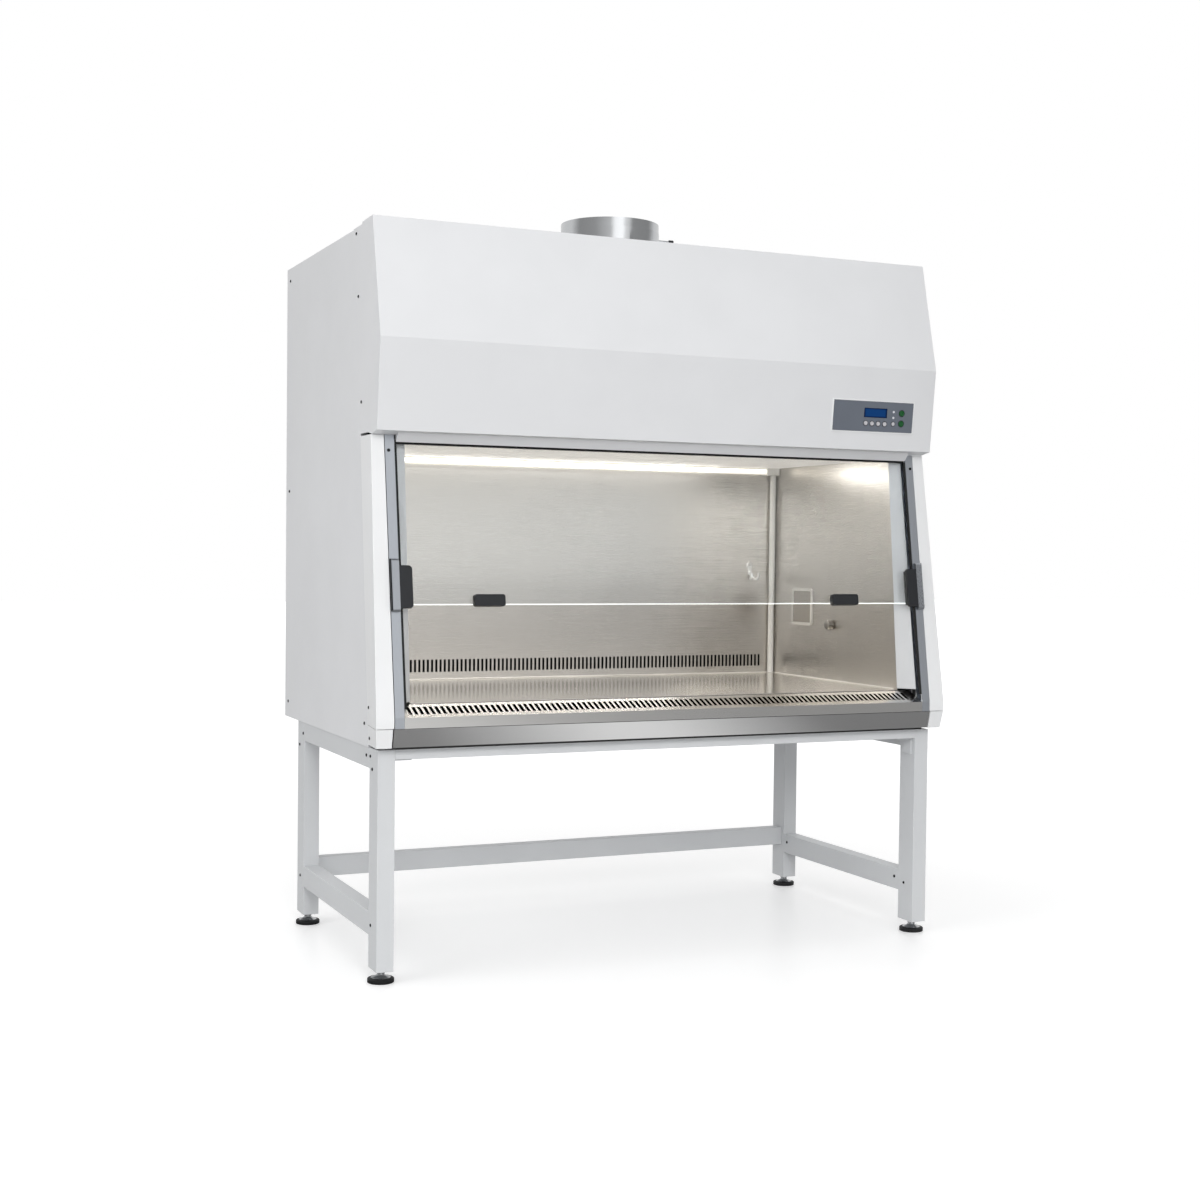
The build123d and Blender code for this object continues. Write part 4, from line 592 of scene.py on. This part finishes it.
# Painted shade: the inner face of the rear panel and the inner side of the base pan are coloured near black (0D0E0F),
# for the shade behind the slots.
rear_paint_and_shade = split_finish_and_shade("rear_panel_paint_and_shade", "Y", REAR_SHADE_FROM_Y, "0D0E0F", "E3E4E6")
pan_coat_and_shade = split_finish_and_shade("base_pan_coat_and_shade", "Z", PAN_SHADE_FROM_Z, "D5D6D8", "0D0E0F")
screw_finish = split_finish_and_shade("screws_and_nuts", "Z", SCREWS_FROM_Z, "C4C5C7", "2C2E31", 1.0, 0.5, (0.2, 0.32))

FINISH = {
    "stand_paint": stand_paint, "powder_coat": body_paint, "trim_white": trim_paint,
    "stainless": wall_steel, "stainless_front": front_steel, "rail_aluminium": rail_metal,
    "bright_steel": plated, "collar_steel": collar_steel, "black_rubber": rubber,
    "black_plastic": black_plastic, "sash_glass": sash_glass, "lamp_glass": lamp_glow,
    "lamp_plastic": conduit_plastic, "panel_slate": slate, "display_blue": display,
    "button_silver": button_silver, "button_green": button_green, "light_lens": light_lens,
    "outlet_plastic": socket_plastic, "filter_media": media, "cast_grey": iron,
    "blower_zinc": duct_zinc, "cable_steel": cable_metal, "screw_steel": plated,
    "valve_metal": knob_metal,
}
OWN_FINISH = {
    "work_trays": tray_steel, "outlet_flap": flap_plastic, "valve_knob": knob_metal,
    "side_brackets": bracket_metal, "ceiling_diffuser": ceiling_painted_glow,
    "coat_hook": hook_metal, "front_grille": grille_steel, "rear_panel": rear_paint_and_shade,
    "base_pan": pan_coat_and_shade, "fasteners": screw_finish,
}
SLOT = {row["node"]: row["material_slot"] for row in frame["record"]["subparts"]}
for node, thing in NODES.items():
    finish = OWN_FINISH.get(node, FINISH[SLOT[node]])
    if node.startswith("foot_"):
        finish = levelling_foot
    thing.data.materials.clear()
    thing.data.materials.append(finish)

TRIM_HEADS = ((0.8887, 0.6924), (0.8977, 0.6155))  # depth and height of the screws in the corner trims

# ================= softened folds =================

for node, width in (
    ("side_panel_left", 0.0012), ("side_panel_right", 0.0012), ("hood_shell", 0.0015),
    ("corner_trim_left", 0.0018), ("corner_trim_right", 0.0018),
    ("stand_legs", 0.0022), ("stand_rails", 0.0018),
    ("side_grips", 0.0016), ("bottom_grips", 0.0016), ("front_apron", 0.0008),
):
    softened(node, NODES[node].data.materials[0], width)

for node, finish in (
    ("exhaust_collar", collar_steel), ("damper_knob", black_plastic), ("lamp_tube", lamp_glow),
    ("valve_knob", knob_metal), ("coat_hook", hook_metal), ("status_lights", light_lens),
    ("lamp_holders", conduit_plastic), ("lift_shaft", plated), ("blower_motor", iron),
):
    rounded_copy(node, finish)

# ================= cables =================

CABLE_CUTS = 12  # along each cable
SASH_CABLE_ENDS = ((0, -0.3353, 1.6566), (0, -0.3003, 1.8836))
WEIGHT_CABLE_ENDS = ((0, -0.2605, 1.5858), (0, -0.2605, 1.8845))


def following_cable(node, body, low_end, high_end):
    """A copy of a cable node, cut along its length and smoothly shaded, which stands for the node and rides on no
    body.
    """
    cable = merged_copy(node, node + "_paid_out")
    bpy.ops.object.mode_set(mode="EDIT")
    bpy.ops.mesh.select_all(action="SELECT")
    bpy.ops.mesh.subdivide(number_cuts=CABLE_CUTS)
    bpy.ops.object.mode_set(mode="OBJECT")
    finish_piece(cable, cable_metal, None, 40)
    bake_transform(cable)
    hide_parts(node)


following_cable("sash_cables", "sash", *SASH_CABLE_ENDS)
following_cable("weight_cables", "counterweights", *WEIGHT_CABLE_ENDS)

# ================= levelling feet =================

FOOT_RINGS = (
    (0.0322, 0.0), (0.034, 0.0012), (0.034, 0.0044), (0.0328, 0.0049), (0.0328, 0.0057), (0.034, 0.0062),
    (0.034, 0.0098), (0.0326, 0.0112), (0.0255, 0.0128), (0.0245, 0.0132), (0.0225, 0.0138), (0.0118, 0.0182),
    (0.0105, 0.0200), (0.0098, 0.0236), (0.006, 0.0238), (0.006, 0.0815), (0.0052, 0.082),
)
foot_pattern = lathe("foot_pattern", FOOT_RINGS)
for node in ("foot_front_left", "foot_front_right", "foot_rear_left", "foot_rear_right"):
    low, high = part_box(node)
    under = Matrix.Translation(((low.x + high.x) / 2, (low.y + high.y) / 2, 0))
    foot = placed(copy_of(foot_pattern, node + "_turned"), under)
    finish_piece(foot, levelling_foot, NODES[node]["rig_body"], 40)
    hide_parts(node)
bpy.data.objects.remove(foot_pattern)

# ================= screws and lock nuts =================

NUT_RINGS = (
    (0.0073, 0.0), (0.0106, 0.0), (0.01097, 0.0008), (0.01097, 0.0072), (0.0106, 0.008), (0.0073, 0.008),
    (0.0073, 0.0),
)
HEAD_RINGS = ((0.0042, 0.0), (0.0042, 0.0012), (0.0037, 0.0019), (0.003, 0.0022), (0.0021, 0.0022), (0.0021, 0.0008))
REAR_HEAD_RINGS = ((0.0042, 0.0), (0.0042, 0.0008), (0.0037, 0.0014), (0.0021, 0.0014), (0.0021, 0.0004))
HEAD_TALL, REAR_HEAD_TALL = 0.0022, 0.0015  # of the node's own heads, which the turned ones stand for
NUT_BASE_Z = 0.024
NUT_LIMIT_Z = 0.05  # the node's pieces below this are the lock nuts


def facing(direction):
    """A turn that takes Z to a direction."""
    return Vector(direction).to_track_quat("Z", "Y").to_matrix().to_4x4()


def outward(middle, normal):
    """The side that a screw head faces."""
    if abs(normal.x) > 0.9:
        return Vector((math.copysign(1, middle.x) * (1 if abs(middle.x) > 0.8 else -1), 0, 0))
    return normal if normal.y * middle.y > 0 else -normal


head_pattern = lathe("head_pattern", HEAD_RINGS, 24)
rear_pattern = lathe("rear_pattern", REAR_HEAD_RINGS, 24)
nut_pattern = lathe("nut_pattern", NUT_RINGS, 6, closed=True)
heads, nuts = [], []
for number, (middle, normal) in enumerate(loose_parts("fasteners")):
    if middle.z < NUT_LIMIT_Z:
        nut = placed(copy_of(nut_pattern, f"nut_{number}"), Matrix.Translation((middle.x, middle.y, NUT_BASE_Z)))
        nuts.append(nut)
        continue
    out = outward(middle, normal)
    rear = out.y > 0.9
    pattern, tall = (rear_pattern, REAR_HEAD_TALL) if rear else (head_pattern, HEAD_TALL)
    head = copy_of(pattern, f"head_{number}")
    heads.append(placed(head, Matrix.Translation(middle - out * tall / 2) @ facing(out)))


def head_on(node, start, aim, number):
    """A screw head where a line meets a piece."""
    bpy.context.view_layer.update()
    met, place, normal, _ = bpy.data.objects[node].ray_cast(Vector(start), Vector(aim))
    if met:
        heads.append(placed(copy_of(head_pattern, f"extra_head_{number}"), Matrix.Translation(place) @ facing(normal)))


for number, (depth, height) in enumerate(TRIM_HEADS):
    for side, node in ((-1, "corner_trim_left_soft"), (1, "corner_trim_right_soft")):
        head_on(node, (side * 1.0, REAR_Y - depth, height), (-side, 0, 0), 10 * number + side)
finish_piece(joined(heads, "socket_screws"), screw_finish, "cabinet", 40)
finish_piece(joined(nuts, "lock_nuts"), plated, "cabinet", 20)
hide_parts("fasteners")
for pattern in (head_pattern, rear_pattern, nut_pattern):
    bpy.data.objects.remove(pattern)

# ================= tray beads =================

BEAD = 0.0034  # the turned-up edge where the tray meets the walls


def tray_bead(name, low, high):
    """A rounded turned-up edge of the work tray, between two corners of its box."""
    bpy.ops.object.select_all(action="DESELECT")
    bpy.ops.mesh.primitive_cube_add(size=1, location=(Vector(low) + Vector(high)) / 2)
    bead = added(name)
    bead.scale = Vector(high) - Vector(low)
    settle(bead)
    apply_modifier(bead, "BEVEL", width=0.0012, segments=3)
    return finish_piece(bead, bead_steel_and_highlight, "cabinet", 30)


TRAY_LOW, TRAY_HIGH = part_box("work_trays")
tray_bead(
    "tray_bead_rear", (TRAY_LOW.x, TRAY_HIGH.y - BEAD, TRAY_HIGH.z),
    (TRAY_HIGH.x, TRAY_HIGH.y, TRAY_HIGH.z + BEAD),
)
for side, start in (("left", TRAY_LOW.x), ("right", TRAY_HIGH.x - BEAD)):
    tray_bead(
        "tray_bead_" + side, (start, TRAY_LOW.y + 0.02, TRAY_HIGH.z),
        (start + BEAD, TRAY_HIGH.y - BEAD, TRAY_HIGH.z + BEAD),
    )

# ================= control panel =================

PANEL_UP = Vector((0, -0.025, 0.230)).normalized()
PANEL_OUT = Vector((1, 0, 0)).cross(PANEL_UP)
PANEL_MIDDLE = Vector((0.6235, -0.443663, 1.4815))
PANEL_LONG, PANEL_TALL, PANEL_PROUD = 0.264, 0.084, 0.0025
BUTTONS = {
    "button_menu": (0.5985, 1.4625, 0.006), "button_down": (0.6193, 1.462, 0.006),
    "button_up": (0.6402, 1.462, 0.006), "button_enter": (0.6618, 1.4617, 0.006),
    "button_mute": (0.69, 1.4634, 0.0052), "button_light": (0.717, 1.4939, 0.008),
    "button_blower": (0.717, 1.4648, 0.008),
}


def on_panel(x, z, out):
    """The place on the panel's face at a height, with Z out of it and Y up it."""
    place = PANEL_MIDDLE + Vector((x - PANEL_MIDDLE.x, 0, 0)) + PANEL_UP * ((z - PANEL_MIDDLE.z) / PANEL_UP.z)
    turn = Matrix(((1, 0, 0), PANEL_UP, PANEL_OUT)).transposed().to_4x4()
    return Matrix.Translation(place + PANEL_OUT * out) @ turn


def panel_surround():
    """The raised rim round the control panel."""
    rim, tall = 0.0042, 0.0018
    bpy.ops.object.select_all(action="DESELECT")
    bpy.ops.mesh.primitive_plane_add(size=1)
    piece = added("panel_surround")
    bpy.ops.object.mode_set(mode="EDIT")
    bpy.ops.mesh.select_all(action="SELECT")
    bpy.ops.transform.resize(value=(PANEL_LONG + 2 * rim, PANEL_TALL + 2 * rim, 1))
    bpy.ops.mesh.inset(thickness=rim - 0.0003)
    bpy.ops.mesh.delete(type="FACE")
    bpy.ops.mesh.select_all(action="SELECT")
    bpy.ops.mesh.extrude_region_move(TRANSFORM_OT_translate={"value": (0, 0, tall)})
    bpy.ops.mesh.select_all(action="SELECT")
    bpy.ops.mesh.normals_make_consistent(inside=False)
    bpy.ops.object.mode_set(mode="OBJECT")
    apply_modifier(piece, "BEVEL", width=0.0007, segments=2)
    placed(piece, on_panel(PANEL_MIDDLE.x, PANEL_MIDDLE.z, 0))
    return finish_piece(piece, trim_paint, "cabinet")


panel_surround()
rings = []
for node, (x, z, radius) in BUTTONS.items():
    depth, proud = 0.0045, PANEL_PROUD + 0.0018
    key = lathe(node + "_key", (
        (radius, -depth), (radius, -0.0006), (radius - 0.0004, -0.0002), (radius - 0.0013, 0.0),
        (radius * 0.62, -0.0002), (radius * 0.3, -0.0004),
    ), 32)
    placed(key, on_panel(x, z, proud))
    finish_piece(key, button_green if "GREEN" in SLOT[node].upper() else button_silver, node, 30)
    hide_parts(node)
    ring = lathe(node + "_ring", (
        (radius + 0.0005, 0.0), (radius + 0.0019, 0.0), (radius + 0.0017, 0.0006), (radius + 0.0008, 0.0006),
        (radius + 0.0005, 0.0),
    ), 32, closed=True)
    rings.append(placed(ring, on_panel(x, z, PANEL_PROUD)))
finish_piece(joined(rings, "button_rings"), black_plastic, "cabinet", 30)

# ================= floor, light and camera =================


def area_light(name, place, target, size, size_y, power, colour=(1.0, 1.0, 1.0), seen_in_metal=False):
    bpy.ops.object.light_add(type="AREA", location=place)
    lamp = bpy.context.active_object
    lamp.name = name
    lamp.data.shape = "RECTANGLE"
    lamp.data.size = size
    lamp.data.size_y = size_y
    lamp.data.energy = power
    lamp.data.color = colour
    lamp.visible_camera = False
    lamp.visible_glossy = seen_in_metal
    aim = Vector(target) - Vector(place)
    lamp.rotation_euler = aim.to_track_quat("-Z", "Y").to_euler()
    return lamp


FLOOR_NEAR, FLOOR_FAR = 1.3, 4.2  # the floor fades to plain white between these distances
FLOOR_GLOW = 0.3
FLOOR_TONE = (0.82, 0.82, 0.82, 1.0)
FLOOR_BRIGHT_X, FLOOR_BRIGHT_SPAN, FLOOR_DARK = 0.45, (0.1, 0.75), 0.28  # the floor's tone in reflections


def studio_floor():
    bpy.ops.object.select_all(action="DESELECT")
    bpy.ops.mesh.primitive_plane_add(size=60, location=(0, 0, 0))
    floor = added("studio_floor")
    material = bpy.data.materials.new("studio_floor")
    material.use_nodes = True
    net = Net(material.node_tree)
    shader = material.node_tree.nodes["Principled BSDF"]
    shader.inputs["Roughness"].default_value = 0.3
    shader.inputs["Specular IOR Level"].default_value = 0.15
    away = net.add("ShaderNodeVectorMath", operation="LENGTH")
    net.put(net.place(), away.inputs[0])
    far = net.spread(away.outputs["Value"], FLOOR_NEAR, FLOOR_FAR)
    near_tone, far_tone = FLOOR_TONE, (0.0, 0.0, 0.0, 1.0)
    path = net.add("ShaderNodeLightPath")
    seen = net.math("MAXIMUM", path.outputs["Is Camera Ray"], path.outputs["Is Transmission Ray"])
    along = net.add("ShaderNodeSeparateXYZ")
    net.put(net.place(), along.inputs[0])
    aside = net.math("ABSOLUTE", net.math("SUBTRACT", along.outputs["X"], FLOOR_BRIGHT_X))
    sheen = net.spread(aside, *FLOOR_BRIGHT_SPAN, 1.0, FLOOR_DARK)
    glossy = path.outputs["Is Glossy Ray"]
    seen = net.math("MAXIMUM", seen, net.math("MULTIPLY", glossy, sheen))
    shaded = net.math("MULTIPLY", glossy, net.math("SUBTRACT", 1.0, sheen))
    near_tone = net.blend(shaded, near_tone, far_tone)
    net.put(net.blend(far, near_tone, far_tone), shader.inputs["Base Color"])
    shader.inputs["Emission Color"].default_value = (1.0, 1.0, 1.0, 1.0)
    net.put(net.math("MULTIPLY", seen, net.spread(far, 0.0, 1.0, FLOOR_GLOW, 1.0)), shader.inputs["Emission Strength"])
    floor.data.materials.append(material)


# tone of the room in reflections, by angle from straight ahead of the cabinet to the operator's right
ROOM_TONES = (
    (-180, 0.8), (180, 0.8), (-125, 0.8), (-100, 0.35), (-60, 0.4), (-22, 0.7), (-12, 1.45), (6, 1.6),
    (14, 0.95), (22, 0.88), (31, 0.35), (80, 0.32), (105, 0.8),
)
ROOM_FILL = 0.56  # plain light of the room


def studio_world():
    world = bpy.context.scene.world or bpy.data.worlds.new("World")
    bpy.context.scene.world = world
    world.use_nodes = True
    net = Net(world.node_tree)
    background = world.node_tree.nodes["Background"]
    background.inputs["Color"].default_value = (1.0, 1.0, 1.0, 1.0)
    path = net.add("ShaderNodeLightPath")
    seen = net.math("MAXIMUM", path.outputs["Is Camera Ray"], path.outputs["Is Transmission Ray"])
    around = net.add("ShaderNodeSeparateXYZ")
    net.put(net.add("ShaderNodeTexCoord").outputs["Generated"], around.inputs[0])
    turn = net.math("ARCTAN2", around.outputs["X"], net.math("MULTIPLY", around.outputs["Y"], -1.0))
    ramp = net.add("ShaderNodeValToRGB")
    net.put(net.spread(turn, -math.pi, math.pi), ramp.inputs[0])
    stops = ramp.color_ramp.elements
    for number, (degrees, tone) in enumerate(ROOM_TONES):
        place = (degrees + 180) / 360
        stop = stops[number] if number < 2 else stops.new(place)
        stop.position = place
        stop.color = (tone, tone, tone, 1.0)
    wall = ramp.outputs[0]
    glossy = net.math("MULTIPLY", path.outputs["Is Glossy Ray"], wall)
    plain = net.math("SUBTRACT", 1.0, net.math("MAXIMUM", seen, path.outputs["Is Glossy Ray"]))
    strength = net.math("ADD", net.math("MAXIMUM", seen, glossy), net.math("MULTIPLY", plain, ROOM_FILL))
    net.put(strength, background.inputs["Strength"])


CAMERA_PLACE = (-2.0439, -4.5063, 1.0895)
CAMERA_TURN = (0.4226, 0.0282, 0.011)  # yaw, pitch and roll in radians
CAMERA_LENS = 50.775  # mm on a film 36 mm wide


def studio_camera():
    """Seen from the operator's left, a little above the middle of the cabinet."""
    yaw, pitch, roll = CAMERA_TURN
    ahead = Vector((math.sin(yaw) * math.cos(pitch), math.cos(yaw) * math.cos(pitch), -math.sin(pitch)))
    level = Vector((math.cos(yaw), -math.sin(yaw), 0))
    above = level.cross(ahead)
    right = math.cos(roll) * level + math.sin(roll) * above
    up = math.cos(roll) * above - math.sin(roll) * level
    turn = Matrix((right, up, -ahead)).transposed().to_4x4()
    bpy.ops.object.camera_add()
    camera = bpy.context.active_object
    camera.data.sensor_width = 36.0
    camera.data.lens = CAMERA_LENS
    camera.matrix_world = Matrix.Translation(CAMERA_PLACE) @ turn
    camera.data.clip_end = 100
    bpy.context.scene.camera = camera


studio_floor()
studio_world()
studio_camera()
area_light("key_light", (-1.4, -5.6, 3.0), (0, 0, 1.1), 3.2, 2.4, 165)
area_light("fill_light", (-5.0, -1.6, 2.2), (0, 0, 1.0), 3.0, 3.0, 72)
area_light("top_light", (0, 0.5, 4.5), (0, 0, 1.0), 4.0, 3.0, 50)
chamber = area_light(
    "chamber_light", (-0.1, 0.24, 1.362), (-0.1, 0.16, 0.7), 1.2, 0.09, 4.6, (1.0, 0.985, 0.96), seen_in_metal=True,
)
chamber.visible_transmission = False
bpy.context.scene.view_settings.view_transform = "Standard"
